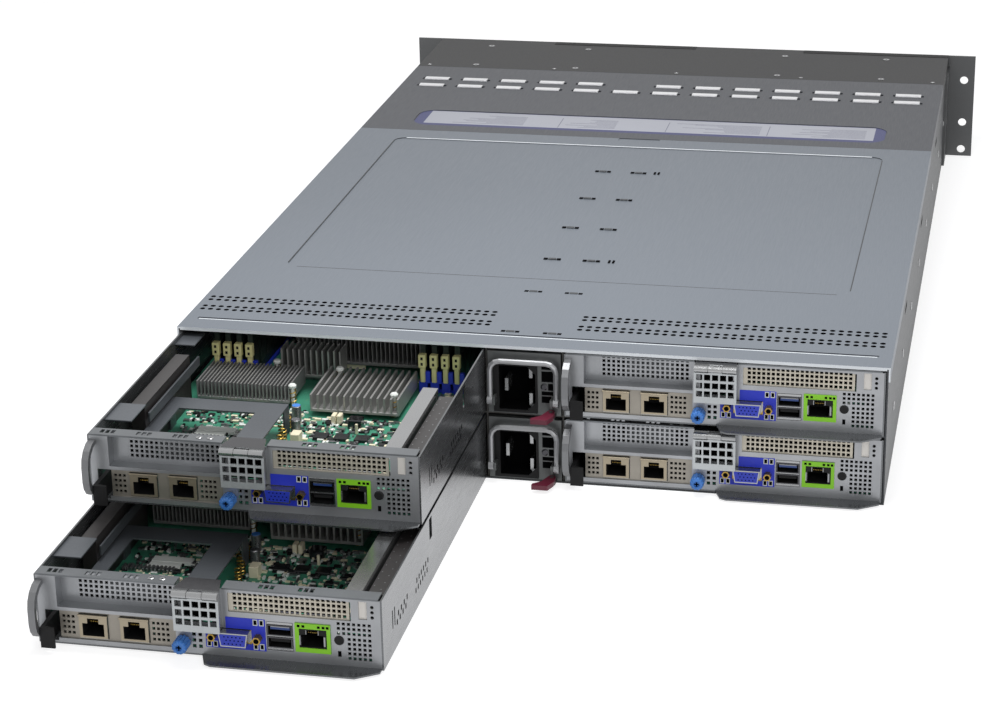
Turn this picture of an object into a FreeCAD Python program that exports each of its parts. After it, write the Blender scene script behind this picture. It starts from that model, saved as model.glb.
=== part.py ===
import FreeCAD, Part
import math
from collections import namedtuple
import os

# A rack server two units high, with four pull-out compute sleds at the rear, two power supplies
# between them, four fans in the middle and twelve hot-swap drives at the front.
#
# Millimetres. The origin is the middle of the underside, +Z is up, +Y is the rear (the sleds' and
# power supplies' panels) and +X is the left-hand side of someone who looks at the rear.
# Two of the sleds are drawn part of the way out of their bays.

# ---------------------------------------------------------------- overall sizes
BODY_WIDTH = 438.0          # over the side lips of the covers
BODY_DEPTH = 730.0          # drive bezels to rear panels
BODY_HEIGHT = 88.0          # two rack units, less their clearance
SHEET = 1.0                 # steel of the chassis, cages, trays and panels
RUN_GAP = 0.3               # under a piece that slides, and before a stop
SIDE_GAP = 0.5              # on each side of a piece that slides
TOP_GAP = 0.6               # over a piece that slides
UPPER_SLACK = 0.8           # spare height under the covers

REAR = BODY_DEPTH / 2
FRONT = -REAR
COVER_HALF = BODY_WIDTH / 2
WALL_OUT = COVER_HALF - SHEET
WALL_IN = WALL_OUT - SHEET
TOP_IN = BODY_HEIGHT - SHEET
SHELF_Z = (TOP_IN - UPPER_SLACK) / 2         # underside of the middle shelf and of the rails
LEVELS = (SHEET + RUN_GAP, SHELF_Z + SHEET + RUN_GAP)     # undersides of what stands on each level

# ---------------------------------------------------------------- covers
COVER_LIP = 9.0
COVER_SEAM = 0.3
CAGE_TOP_LENGTH = 97.0      # top plate of the drive cage, in front of the two covers
FAN_COVER_LENGTH = 188.0
HEM_DROP = 2.0
EMBOSS_DEPTH = 0.4
PANEL_INSET_X = 34.0        # embossed panel of the rear cover, from its edges
PANEL_INSET_REAR = 121.0
PANEL_INSET_FRONT = 22.0
PANEL_CORNER = 8.0
BEAD_Y = 16.0               # stiffening bead, from the rear edge
BEAD_WIDTH = 3.0
NOTCH_WIDTH = 31.0
NOTCH_LENGTH = 6.0
LABEL_WIDTH = 367.0
LABEL_LENGTH = 42.0
LABEL_FROM_SEAM = 36.0      # middle of the label recess, from the seam
LANCE_COUNT = 13
LANCE_INSET = 25.8          # middle of the outer straps, from the cover's sides
LANCE_PITCH = (BODY_WIDTH - 2 * LANCE_INSET) / (LANCE_COUNT - 1)
LANCE_LENGTH = 20.0
LANCE_WIDTH = 4.6
LANCE_OPEN = 2.2            # opening at each end of a lanced strap
LANCE_RISE = 0.8
LANCE_ROWS = (129.0, 149.5) # from the seam
SINGLE_LANCE = 5            # the group, from the left, that has one row only

FAN_COVER_FRONT = FRONT + CAGE_TOP_LENGTH
REAR_COVER_FRONT = FAN_COVER_FRONT + FAN_COVER_LENGTH

# ---------------------------------------------------------------- rack ears
EAR_FLANGE = 22.3           # beside the covers, so that the ears span a rack panel
EAR_THICK = 2.0
EAR_LEG = 34.0
EAR_MARGIN = 0.5
EAR_HOLE_RADIUS = 3.4
EAR_HOLE_INSET = 8.75
EAR_HOLE_LOW = 6.35
EAR_HOLE_RISE = 60.325
EAR_MIDDLE_HOLE = 30.0
EAR_SPAN = BODY_WIDTH + 2 * EAR_FLANGE
EAR_HOLE_SPAN = EAR_SPAN - 2 * EAR_HOLE_INSET

# ---------------------------------------------------------------- power supplies and their cage
PSU_WIDTH = 45.0
PSU_TOP_GAP = 1.8
PSU_HEIGHT = SHELF_Z - PSU_TOP_GAP - LEVELS[0]
CAGE_IN = PSU_WIDTH / 2 + SIDE_GAP
CAGE_OUT = CAGE_IN + SHEET
RAIL_WIDTH = 6.0
PSU_VENT_PITCH = 7.5        # slots in the supply's front end
PSU_VENT_WIDTH = 4.0
INLET_X = 4.3               # middle of the mains inlet, from the middle of the supply
INLET_WIDTH = 22.5
INLET_HEIGHT = 28.5
INLET_Z = 17.0
INLET_DEPTH = 16.0
INLET_CHAMFER = 5.0
BLADE_THICK = 2.0
BLADE_WIDTH = 8.0
BLADE_LENGTH = 12.0
BLADE_SPREAD = 9.0          # line and neutral, from the inlet's middle height
BLADE_SIDE = 7.5            # the blades' two columns, from the inlet's middle
BAIL_OUT = 5.0              # axis of the bail, from the supply's panel
BAIL_PIVOT_Z = 10.0
BAIL_HALF = 20.3            # middle of the bail's legs
BAIL_RADIUS = 1.65
BAIL_CORNER = 6.0
BAIL_TOP_DROP = 3.0
BAIL_EYE_RADIUS = 2.8
BAIL_EYE_HALF = 1.6
PIN_RADIUS = 1.0
PIN_CLEARANCE = 0.05
LUG_THICK = 1.5
LUG_HEIGHT = 5.0
LATCH_PIVOT_X = -17.0
LATCH_PIVOT_Y = 4.5
LATCH_THICK = 3.0
LATCH_WIDTH = 5.0
LATCH_REACH = 14.0
LATCH_PIN_RADIUS = 1.3

# ---------------------------------------------------------------- fans
FAN_SIZE = 80.0
FAN_DEPTH = 38.0
FAN_BORE_RADIUS = 38.0
FAN_BORE_SIDES = 20
FAN_PITCH = 96.0            # between the two fans of one side
FAN_WALL_GAP = 9.0
FAN_FRONT_GAP = 5.0         # backplane to the fans
FAN_REAR_TO_BOARD = 34.0    # fans' rear face to the power board
HUB_RADIUS = 17.0
HUB_LENGTH = 26.0
BLADE_COUNT = 7
BLADE_TIP_GAP = 1.2
BLADE_ROOT_CHORD = 20.0
BLADE_TIP_CHORD = 26.0
BLADE_SHEET = 1.5
BLADE_PITCH = 38.0
STATOR_THICK = 3.0
STRUT_WIDTH = 5.0
SHAFT_RADIUS = 2.0
BLADE_ROOT_SINK = 2.0       # blades' roots, inside the hub's face
FAN_OUTER = WALL_IN - FAN_WALL_GAP - FAN_SIZE / 2
FAN_PLACES = (-FAN_OUTER, FAN_PITCH - FAN_OUTER, FAN_OUTER - FAN_PITCH, FAN_OUTER)

# ---------------------------------------------------------------- boards
BOARD_THICK = 2.0
PSU_PLUG_LENGTH = 6.0
PSU_PLUG_LOW = 6.0
PSU_PLUG_HEIGHT = 12.0
PSU_PLUG_WIDTH = 30.0
BACKPLANE_GAP = 4.0         # drives' rear end to the backplane
DRIVE_PLUG_WIDTH = 42.0
DRIVE_PLUG_LOW = 5.7        # over the floor of each row
DRIVE_PLUG_HEIGHT = 5.7
AIR_SLOT_INSET = 8.0        # from the sides of each drive
AIR_SLOT_LOW = 17.7
AIR_SLOT_DROP = 3.0          # below the next row
POWER_BOARD_REACH = 8.0     # beside the sleds' edge connectors
SOCKET_MARGIN = 2.0         # beside an edge connector's tongue
SOCKET_RISE = 5.0
AIR_GATE_LOW = 4.0          # openings of the power board, from a sled's underside and top
AIR_GATE_DROP = 6.0

# ---------------------------------------------------------------- drives and their cage
DRIVE_COLUMNS = 4
DRIVE_ROWS = 3
BEZEL_DEPTH = 12.0
DRIVE_LENGTH = 147.0
CARRIER_SIDE = 2.325        # carrier beside the drive, so that a 101.6 mm drive fits
DRIVE_INSET = 1.4           # drive to the carrier's top and underside
CARRIER_RAIL = 1.6
LEDGE_WIDTH = 3.0
DRIVE_COLUMN_WIDTH = (2 * (WALL_IN - SHEET) - (DRIVE_COLUMNS - 1) * SHEET) / DRIVE_COLUMNS
DRIVE_ROW_HEIGHT = (TOP_IN - SHEET) / DRIVE_ROWS
CARRIER_WIDTH = DRIVE_COLUMN_WIDTH - 2 * SIDE_GAP
CARRIER_HEIGHT = DRIVE_ROW_HEIGHT - SHEET - RUN_GAP - TOP_GAP
DRIVE_WIDTH = CARRIER_WIDTH - 2 * CARRIER_SIDE

# ---------------------------------------------------------------- places along the depth
SLED_FRONT_GAP = 29.0       # power board to the sleds' trays, room for their edge connectors
BACKPLANE_Y = FRONT + BEZEL_DEPTH + DRIVE_LENGTH + BACKPLANE_GAP
FAN_FRONT = BACKPLANE_Y + BOARD_THICK + FAN_FRONT_GAP
FAN_REAR = FAN_FRONT + FAN_DEPTH
FAN_Z = SHEET + FAN_SIZE / 2
POWER_BOARD_REAR = FAN_REAR + FAN_REAR_TO_BOARD + BOARD_THICK
PSU_FRONT = POWER_BOARD_REAR + PSU_PLUG_LENGTH
PSU_LENGTH = REAR - PSU_FRONT
SLED_FRONT = POWER_BOARD_REAR + SLED_FRONT_GAP

# ---------------------------------------------------------------- sleds
# A sled is drawn with the middle of its width at x = 0, its panel's face at y = 0 and its floor's
# underside at z = 0. Places across it are measured from its left side, as its panel is looked at.
SLED_WIDTH = WALL_IN - CAGE_OUT - 2 * SIDE_GAP
SLED_HEIGHT = SHELF_Z - TOP_GAP - LEVELS[0]
SLED_LENGTH = REAR - SLED_FRONT
SLED_MIDDLE = CAGE_OUT + SIDE_GAP + SLED_WIDTH / 2
SLED_OUT = {"upper_left": 165.0, "lower_left": 255.0, "upper_right": 0.0, "lower_right": 0.0}

TONGUE_DEPTH = 12.0
TONGUE_START = 92.0
TONGUE_END_INSET = 1.2
TONGUE_SLOPE = 8.0
TONGUE_EASE = 2.0
SIDE_OVAL = (106.0, 112.0, 26.0, SLED_HEIGHT - 2.6)     # slot in the right wall: near, far, low, high
SIDE_SLITS = (20.0, 24.5)                   # near ends of two slits in the right wall
SLIT_WIDTH = 1.6
SLIT_LOW = 14.0
SLIT_HIGH = 25.0
WALL_DROP = 0.6             # side walls, below the sled's full height

BAY_LEFT = 12.0             # left card bay: a recess in the panel
BAY_RIGHT = 78.0
BAY_LOW = 22.0
BAY_DEPTH = 8.0
NET_LEFT = 7.5              # face plate of the network card
NET_RIGHT = 78.0
NET_LOW = 3.5
NET_HIGH = 20.0
LOCK_LEFT = 79.5            # housing that the flap closes
LOCK_RIGHT = 105.0
LOCK_LOW = 19.0
LOCK_DEPTH = 5.2
LOCK_INSET = 0.8
LOCK_TAPER = 3.0
LOCK_EDGE = 3.0
WEB_THICK = 0.8             # between the top plate and a fixed knuckle
RISER_LEFT = 108.0          # right card slot, with its cover plate
RISER_RIGHT = SLED_WIDTH - 17.0
RISER_LOW = 27.5
RISER_TOP_DROP = 1.6
RISER_LAP = 2.0
PILL_LEFT = SLED_WIDTH - 12.8
PILL_RIGHT = SLED_WIDTH - 8.2
PILL_LOW = 29.0
PILL_TOP_DROP = 1.8
FLANGE_DEPTH = BAY_DEPTH + SHEET
RIB_WIDTH = 9.0
RIB_FROM_RIGHT = 13.2
RIB_LENGTH = 100.0
RIB_HEIGHT = 14.0
RIB_DROP = 1.2

HANDLE_LEFT = 0.8
HANDLE_WIDTH = 4.0
HANDLE_LOW = 5.0
HANDLE_HIGH = SLED_HEIGHT - 3.2
HANDLE_REACH = 14.0
HANDLE_BAND = 2.8
HANDLE_BOW = 12.0           # height of the loop's rounded corners
HANDLE_STEPS = 4

HINGE_Y = 6.5
HINGE_DROP = 2.5            # hinge axis, below the sled's full height
HINGE_Z = SLED_HEIGHT - HINGE_DROP
KNUCKLE_RADIUS = 2.0
HINGE_PIN_RADIUS = 0.9
KNUCKLE_COUNT = 3
KNUCKLE_SIDES = 12
KNUCKLE_GAP = 0.3
FLAP_LOW = 17.2
FLAP_HOLE_WIDTH = 3.7
FLAP_PITCH = 4.75
FLAP_WEB = 1.6              # between two rows of holes
FLAP_COLUMNS = 5
FLAP_ROWS = 3
FLAP_HOLES_LOW = 21.15      # underside of the lowest row
FLAP_HOLES_DROP = 3.25      # hinge axis to the top row
FLAP_HOLE_HEIGHT = (HINGE_Z - FLAP_HOLES_DROP - FLAP_HOLES_LOW - (FLAP_ROWS - 1) * FLAP_WEB) / FLAP_ROWS

SCREW_S = 82.0
SCREW_Z = 7.6
SCREW_HEAD_RADIUS = 4.3
SCREW_HEAD_LENGTH = 8.5
SCREW_FLUTES = 16
SCREW_SHANK_RADIUS = 1.5
SCREW_SHANK_LENGTH = 8.0
SCREW_HOLE_RADIUS = 1.7
SCREW_HOLE_SIDES = 8

LEVER_S = 5.0
LEVER_THICK = 2.4
LEVER_LOW = 2.0
LEVER_HIGH = 14.0
LEVER_LENGTH = 22.0
LEVER_REACH = 10.0
LEVER_PAD = 8.0
LEVER_SWING_ROOM = 4.0
LEVER_PIN_RADIUS = 1.2
LEVER_EYE_RADIUS = 2.6
LEVER_ROOM = LEVER_S + LEVER_THICK + LEVER_SWING_ROOM + LEVER_EYE_RADIUS     # kept free beside the lever

BOARD_Z = 3.0
BOARD_SHEET = 1.6
BOARD_SIDE = 3.0            # board's edge to the tray's wall
BOARD_TOP = BOARD_Z + BOARD_SHEET
BOARD_EDGE_TONGUE = 24.0    # edge connector, beyond the tray's front end
EDGE_LEFT = 78.0
EDGE_RIGHT = 112.0
CARD_RIGHT = 86.0
CARD_DEPTH = 78.0
JACK_WIDTH = 16.0
JACK_HEIGHT = 14.0
JACK_DEPTH = 21.0
JACK_HOLLOW = 15.0
JACK_FLOOR = 1.6
JACK_PLUG_WIDTH = 12.2
JACK_PLUG_HEIGHT = 7.4
JACK_TAB_WIDTH = 6.4
JACK_TAB_HEIGHT = 3.0
NET_JACKS = (31.6, 54.8)    # middles of the network card's two jacks
NET_JACK_LOW = BOARD_TOP
ADMIN_JACK = 153.5
ADMIN_JACK_LOW = 8.6
USB_S = 135.8
USB_WIDTH = 14.0
USB_LOW = 7.0
USB_HEIGHT = 16.4
USB_DEPTH = 17.0
USB_HOLLOW = 11.0
USB_PORT_WIDTH = 12.4
USB_PORT_HEIGHT = 5.0
VGA_S = 111.4
VGA_Z = 13.4
VGA_WIDTH = 16.4
VGA_HEIGHT = 8.0
VGA_SLANT = 1.3
VGA_REACH = 5.6
VGA_FLANGE = 30.0
VGA_BACK = 11.0
POST_SPREAD = 12.5
POST_RADIUS = 2.4
POST_REACH = 4.6
PORT_GAP = 0.3              # between a connector and its cut-out
STUD_RADIUS = 3.0

DIMM_COUNT = 4
DIMM_PITCH = 7.2
DIMM_THICK = 3.2
DIMM_TOP = SLED_HEIGHT - 5.6
DIMM_BASE = 6.5
DIMM_SOCKET = 2.0
DIMM_LEFT_S = 15.0          # left edge of the left-hand bank
DIMM_RIGHT_S = SLED_WIDTH - 44.8
DIMM_START = 179.0          # rear end of the rear banks, from the panel
DIMM_ROW_GAP = 9.0
DIMM_END_GAP = 3.0          # before the board's front end
DIMM_LENGTH = (SLED_LENGTH - DIMM_START - DIMM_ROW_GAP - DIMM_END_GAP) / 2

# near and far: from the panel; foot: height of the block below the plate; inset: of that block.
Sink = namedtuple("Sink", "left right near far foot plate top fins inset")
CPU_SINK_INSET = 22.0       # from the banks' rear ends
CPU_SINK_END = 11.0         # from the banks' front ends
CPU_SINK_RIGHT = DIMM_RIGHT_S - 1.2
CPU_SINK_TOP = SLED_HEIGHT - 5.2
CPU_SINKS = [
    Sink(64.0, CPU_SINK_RIGHT, start + CPU_SINK_INSET, start + DIMM_LENGTH - CPU_SINK_END,
         6.0, 5.0, CPU_SINK_TOP, 6, 14.0)
    for start in (DIMM_START, DIMM_START + DIMM_LENGTH + DIMM_ROW_GAP)]
SMALL_SINK = Sink(17.0, 76.0, 139.0, 174.0, 3.0, 2.0, 19.0, 6, 9.0)
WIDE_SINK = Sink(91.5, 146.6, 130.0, 178.0, 3.0, 2.0, 18.5, 5, 9.0)
TALL_SINK = Sink(58.0, 96.5, 183.0, 197.0, 3.0, 2.0, 26.0, 5, 4.0)
FIN_THICK = 1.0

FRAME_LEFT = 14.0           # bridge frame over the left card bay
FRAME_BACK = 105.0
FRAME_TOP = 22.0
FRAME_BAR = 16.0
FRAME_LEG = 9.0
FRAME_NEAR = 11.0
SLOT_WIDTH = 8.5            # black riser socket beside each wall
SLOT_SIDE_LEFT = 5.3
SLOT_SIDE_RIGHT = 3.5
SLOT_NEAR = 16.0
SLOT_STAGGER = 40.5         # the left socket stands further from the panel
SLOT_LENGTH = 82.0
SLOT_TOP = SLED_HEIGHT - 5.2


# ---------------------------------------------------------------- small tools
X_AXIS = FreeCAD.Vector(1, 0, 0)
Y_AXIS = FreeCAD.Vector(0, 1, 0)
Z_AXIS = FreeCAD.Vector(0, 0, 1)
NORMALS = {"x": X_AXIS, "y": Y_AXIS, "z": Z_AXIS}


def at(axis, level, a, b):
    """The point (a, b) of the plane across axis at level: (y, z), (x, z) or (x, y)."""
    if axis == "x":
        return FreeCAD.Vector(level, a, b)
    if axis == "y":
        return FreeCAD.Vector(a, level, b)
    return FreeCAD.Vector(a, b, level)


def block(x0, x1, y0, y1, z0, z1):
    """A box between two corners, given in any order."""
    low = FreeCAD.Vector(min(x0, x1), min(y0, y1), min(z0, z1))
    return Part.makeBox(abs(x1 - x0), abs(y1 - y0), abs(z1 - z0), low)


def prism(centre, radius, length, direction, sides=8):
    """A many-sided rod whose corners lie on the radius."""
    turn = FreeCAD.Rotation(Z_AXIS, direction)
    corners = [centre + turn.multVec(FreeCAD.Vector(a, b, 0)) for a, b in ngon(0, 0, radius, sides)]
    return Part.Face(Part.makePolygon(corners + corners[:1])).extrude(direction * length)


def pin_bore(centre, radius, length, direction, sides=8):
    """A bore whose flats lie just outside the radius of the pin that turns in it."""
    return prism(centre, (radius + PIN_CLEARANCE) / math.cos(math.pi / sides), length, direction, sides)


def rect(a0, a1, b0, b1):
    """The corners of a rectangle."""
    return [(a0, b0), (a1, b0), (a1, b1), (a0, b1)]


def ngon(a, b, radius, sides):
    """The corners of a regular figure round a point."""
    step = 2 * math.pi / sides
    turns = [index * step for index in range(sides)]
    return [(a + radius * math.cos(turn), b + radius * math.sin(turn)) for turn in turns]


def polygon(axis, level, points):
    """A closed outline of straight lines across an axis."""
    corners = [at(axis, level, a, b) for a, b in points]
    return Part.makePolygon(corners + corners[:1])


def circle(axis, level, a, b, radius):
    """A round outline across an axis."""
    return Part.Wire(Part.Circle(at(axis, level, a, b), NORMALS[axis], radius).toShape())


def rounded(axis, level, a0, a1, b0, b1, radius):
    """A rectangle with round corners across an axis."""
    bow = radius * (1 - math.sqrt(0.5))
    corners = ((a1, b0, -1, 1), (a1, b1, -1, -1), (a0, b1, 1, -1), (a0, b0, 1, 1))
    edges = []
    last = None
    for index, (a, b, inward_a, inward_b) in enumerate(corners):
        along_a = (a + inward_a * radius, b)
        along_b = (a, b + inward_b * radius)
        start, end = (along_a, along_b) if index % 2 == 0 else (along_b, along_a)
        middle = (a + inward_a * bow, b + inward_b * bow)
        arc = [at(axis, level, *point) for point in (start, middle, end)]
        if last is not None:
            edges.append(Part.makeLine(last, arc[0]))
        edges.append(Part.Arc(*arc).toShape())
        last = arc[2]
    first = edges[0].Vertexes[0].Point
    edges.append(Part.makeLine(last, first))
    return Part.Wire(edges)


def as_wire(axis, level, outline):
    """Takes a list of points or a ready wire."""
    return polygon(axis, level, outline) if isinstance(outline, list) else outline


def sheet(axis, level, thickness, outline, holes=()):
    """A flat plate across an axis, from level to level + thickness, with holes through it."""
    wires = [as_wire(axis, level, line) for line in (outline, *holes)]
    face = Part.makeFace(wires, "Part::FaceMakerBullseye")
    return face.extrude(NORMALS[axis] * thickness)


def fuse(shapes):
    """One solid of pieces that touch or overlap."""
    first, *others = shapes
    return first.multiFuse(others).removeSplitter() if others else first


def group(shapes):
    """Separate solids kept together in one node."""
    solids = [solid for shape in shapes for solid in shape.Solids]
    return Part.makeCompound(solids)


def moved(shape, x=0.0, y=0.0, z=0.0):
    """A copy in another place."""
    copy = shape.copy()
    copy.translate(FreeCAD.Vector(x, y, z))
    return copy


def write(name, shape):
    """Writes one node's STEP file."""
    if not shape.isValid():
        print("not valid:", name)
    shape.exportStep("parts/" + name + ".step")


# ---------------------------------------------------------------- chassis and covers
def chassis_tub():
    """Floor and side walls of one folded sheet, with the side rails of the upper sleds."""
    section = [(-WALL_OUT, 0), (WALL_OUT, 0), (WALL_OUT, TOP_IN), (WALL_IN, TOP_IN), (WALL_IN, SHEET),
               (-WALL_IN, SHEET), (-WALL_IN, TOP_IN), (-WALL_OUT, TOP_IN)]
    tub = sheet("y", FRONT + EAR_THICK, BODY_DEPTH - EAR_THICK, section)
    rails = [block(side * WALL_IN, side * (WALL_IN - RAIL_WIDTH), SLED_FRONT, REAR - SHEET,
                   SHELF_Z, SHELF_Z + SHEET) for side in (-1, 1)]
    return fuse([tub] + rails)


def cover_shell(y0, y1):
    """A cover sheet with a lip down each side."""
    inner = COVER_HALF - SHEET
    low = BODY_HEIGHT - COVER_LIP
    section = [(-COVER_HALF, low), (-COVER_HALF, BODY_HEIGHT), (COVER_HALF, BODY_HEIGHT), (COVER_HALF, low),
               (inner, low), (inner, TOP_IN), (-inner, TOP_IN), (-inner, low)]
    return sheet("y", y0, y1 - y0, section)


def rear_cover():
    """The long cover over the sleds: rear hem, stiffening bead, embossed panel, finger notch."""
    shell = cover_shell(REAR_COVER_FRONT + COVER_SEAM, REAR)
    hem = block(-WALL_IN, WALL_IN, REAR - SHEET, REAR, TOP_IN - HEM_DROP + SHEET, TOP_IN)
    sunk = BODY_HEIGHT - EMBOSS_DEPTH
    panel = sheet("z", sunk, SHEET, rounded(
        "z", sunk, -COVER_HALF + PANEL_INSET_X, COVER_HALF - PANEL_INSET_X,
        REAR_COVER_FRONT + PANEL_INSET_FRONT, REAR - PANEL_INSET_REAR, PANEL_CORNER))
    bead = block(-COVER_HALF + BEAD_Y / 2, COVER_HALF - BEAD_Y / 2, REAR - BEAD_Y - BEAD_WIDTH,
                 REAR - BEAD_Y, sunk, BODY_HEIGHT + SHEET)
    notch = block(-NOTCH_WIDTH / 2, NOTCH_WIDTH / 2, REAR_COVER_FRONT, REAR_COVER_FRONT + NOTCH_LENGTH,
                  sunk, BODY_HEIGHT + SHEET)
    return fuse([shell, hem]).cut([panel, bead, notch])


def lance_places():
    """Middle of every lanced strap of the fan cover."""
    first = (LANCE_COUNT - 1) / 2 * LANCE_PITCH
    for index in range(LANCE_COUNT):
        for row, offset in enumerate(LANCE_ROWS):
            if index != SINGLE_LANCE or row == 0:
                yield first - index * LANCE_PITCH, REAR_COVER_FRONT - offset


def fan_cover():
    """The cover over the fans: rows of lanced straps and the recess of the label."""
    shell = cover_shell(FAN_COVER_FRONT, REAR_COVER_FRONT)
    sunk = BODY_HEIGHT - EMBOSS_DEPTH
    label_y = REAR_COVER_FRONT - LABEL_FROM_SEAM
    label = sheet("z", sunk, SHEET, rounded(
        "z", sunk, -LABEL_WIDTH / 2, LABEL_WIDTH / 2, label_y - LABEL_LENGTH / 2,
        label_y + LABEL_LENGTH / 2, LABEL_LENGTH / 3))
    half_open = LANCE_LENGTH / 2 + LANCE_OPEN
    half_slot = LANCE_WIDTH / 2
    half_strap = half_slot + LANCE_RISE
    slots, straps = [label], []
    for x, y in lance_places():
        slots.append(block(x - half_open, x + half_open, y - half_slot, y + half_slot,
                           TOP_IN - SHEET, BODY_HEIGHT + SHEET))
        straps.append(block(x - LANCE_LENGTH / 2, x + LANCE_LENGTH / 2, y - half_strap, y + half_strap,
                            BODY_HEIGHT - LANCE_RISE / 2, BODY_HEIGHT + LANCE_RISE))
    return fuse([shell.cut(slots)] + straps)


def rack_ear(side):
    """An ear with its rack holes in front and a leg screwed to the chassis wall."""
    outline = rect(side * EAR_SPAN / 2, side * WALL_OUT, EAR_MARGIN, BODY_HEIGHT - EAR_MARGIN)
    x = side * EAR_HOLE_SPAN / 2
    heights = (EAR_HOLE_LOW, EAR_MIDDLE_HOLE, EAR_HOLE_LOW + EAR_HOLE_RISE)
    holes = [circle("y", FRONT, x, z, EAR_HOLE_RADIUS) for z in heights]
    plate = sheet("y", FRONT, EAR_THICK, outline, holes)
    leg = block(side * WALL_OUT, side * (WALL_OUT + EAR_THICK), FRONT, FRONT + EAR_LEG,
                EAR_MARGIN, BODY_HEIGHT - COVER_LIP - EAR_MARGIN)
    return fuse([plate, leg])


# ---------------------------------------------------------------- drives
def column_middles():
    """Middle of each column of drives."""
    pitch = DRIVE_COLUMN_WIDTH + SHEET
    return [(index - (DRIVE_COLUMNS - 1) / 2) * pitch for index in range(DRIVE_COLUMNS)]


def drive_cage():
    """Top plate, walls between the columns and the ledges that carry the drive carriers."""
    top = cover_shell(FRONT + EAR_THICK, FAN_COVER_FRONT - COVER_SEAM)
    near = FRONT + BEZEL_DEPTH + RUN_GAP
    far = BACKPLANE_Y - RUN_GAP
    pieces = [top]
    half = DRIVE_COLUMN_WIDTH / 2
    for middle in column_middles():
        for side in (-1, 1):
            edge = middle + side * half
            pieces.append(block(edge, edge + side * SHEET, near, far, SHEET, TOP_IN))
            for row in range(1, DRIVE_ROWS):
                z = SHEET + row * DRIVE_ROW_HEIGHT
                pieces.append(block(edge, edge - side * LEDGE_WIDTH, near, far, z - SHEET, z))
    return fuse(pieces)


def drive_carrier():
    """A bezel with a finger recess and its lever, and the drive between the carrier's rails."""
    half = CARRIER_WIDTH / 2
    height = CARRIER_HEIGHT
    bezel = block(-half, half, 0, BEZEL_DEPTH, 0, height)
    margin = height / 6
    recess = block(-half + margin, half - 3 * margin, 0, BEZEL_DEPTH / 2, margin, height - margin)
    lever = sheet("z", 2 * margin, height - 4 * margin, [
        (-half + margin, BEZEL_DEPTH / 2), (-half + margin, 0), (-half + 2 * margin, 0),
        (half - 8 * margin, BEZEL_DEPTH / 6), (half - 5 * margin, BEZEL_DEPTH / 6),
        (half - 5 * margin, BEZEL_DEPTH / 6 + CARRIER_RAIL), (half - 8 * margin, BEZEL_DEPTH / 6 + CARRIER_RAIL),
        (-half + 2 * margin, CARRIER_RAIL), (-half + 2 * margin, BEZEL_DEPTH / 2)])
    drive_half = DRIVE_WIDTH / 2
    far = BEZEL_DEPTH + DRIVE_LENGTH
    drive = block(-drive_half, drive_half, BEZEL_DEPTH, far, DRIVE_INSET, height - DRIVE_INSET)
    rails = [block(side * drive_half, side * half, BEZEL_DEPTH, far - BEZEL_DEPTH, 0, height / 2)
             for side in (-1, 1)]
    return fuse([bezel.cut(recess), lever, drive] + rails)


# ---------------------------------------------------------------- boards and fans
def drive_backplane():
    """The board behind the drives, with a socket for each and slots for the air."""
    half = WALL_IN - SHEET - RUN_GAP
    air = DRIVE_WIDTH / 2 - AIR_SLOT_INSET
    plug = DRIVE_PLUG_WIDTH / 2
    holes = []
    plugs = []
    for middle in column_middles():
        for row in range(DRIVE_ROWS):
            low = SHEET + row * DRIVE_ROW_HEIGHT
            holes.append(rect(middle - air, middle + air, low + AIR_SLOT_LOW,
                              low + DRIVE_ROW_HEIGHT - AIR_SLOT_DROP))
            plugs.append(block(middle - plug, middle + plug, BACKPLANE_Y, BACKPLANE_Y - BACKPLANE_GAP + RUN_GAP,
                               low + DRIVE_PLUG_LOW, low + DRIVE_PLUG_LOW + DRIVE_PLUG_HEIGHT))
    board = sheet("y", BACKPLANE_Y, BOARD_THICK, rect(-half, half, SHEET, TOP_IN - TOP_GAP), holes)
    return fuse([board] + plugs)


def edge_connector_x():
    """Middle of the sleds' edge connectors on each side of the chassis."""
    from_middle = SLED_WIDTH / 2 - (EDGE_LEFT + EDGE_RIGHT) / 2
    return (SLED_MIDDLE + from_middle, -SLED_MIDDLE + from_middle)


def power_board():
    """The board across the bays: sockets for the sleds' edge connectors and for the supplies."""
    left, right = edge_connector_x()
    tongue = (EDGE_RIGHT - EDGE_LEFT) / 2
    reach = tongue + POWER_BOARD_REACH
    outline = rect(right - reach, left + reach, SHEET, TOP_IN - TOP_GAP)
    sides = ((right + reach, -CAGE_OUT), (CAGE_OUT, left - reach))
    gates = [rect(a, b, level + AIR_GATE_LOW, level + SLED_HEIGHT - AIR_GATE_DROP)
             for a, b in sides for level in LEVELS]
    tip = SLED_FRONT - BOARD_EDGE_TONGUE - RUN_GAP
    half = tongue + SOCKET_MARGIN
    sockets = []
    for level in LEVELS:
        for middle in (left, right):
            sockets.append(block(middle - half, middle + half, POWER_BOARD_REAR, tip,
                                 level + BOARD_Z - BOARD_SHEET, level + BOARD_TOP + SOCKET_RISE))
        low = level + PSU_PLUG_LOW
        sockets.append(block(-PSU_PLUG_WIDTH / 2, PSU_PLUG_WIDTH / 2, POWER_BOARD_REAR, PSU_FRONT - RUN_GAP,
                             low, low + PSU_PLUG_HEIGHT))
    return fuse([sheet("y", POWER_BOARD_REAR - BOARD_THICK, BOARD_THICK, outline, gates)] + sockets)


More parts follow.
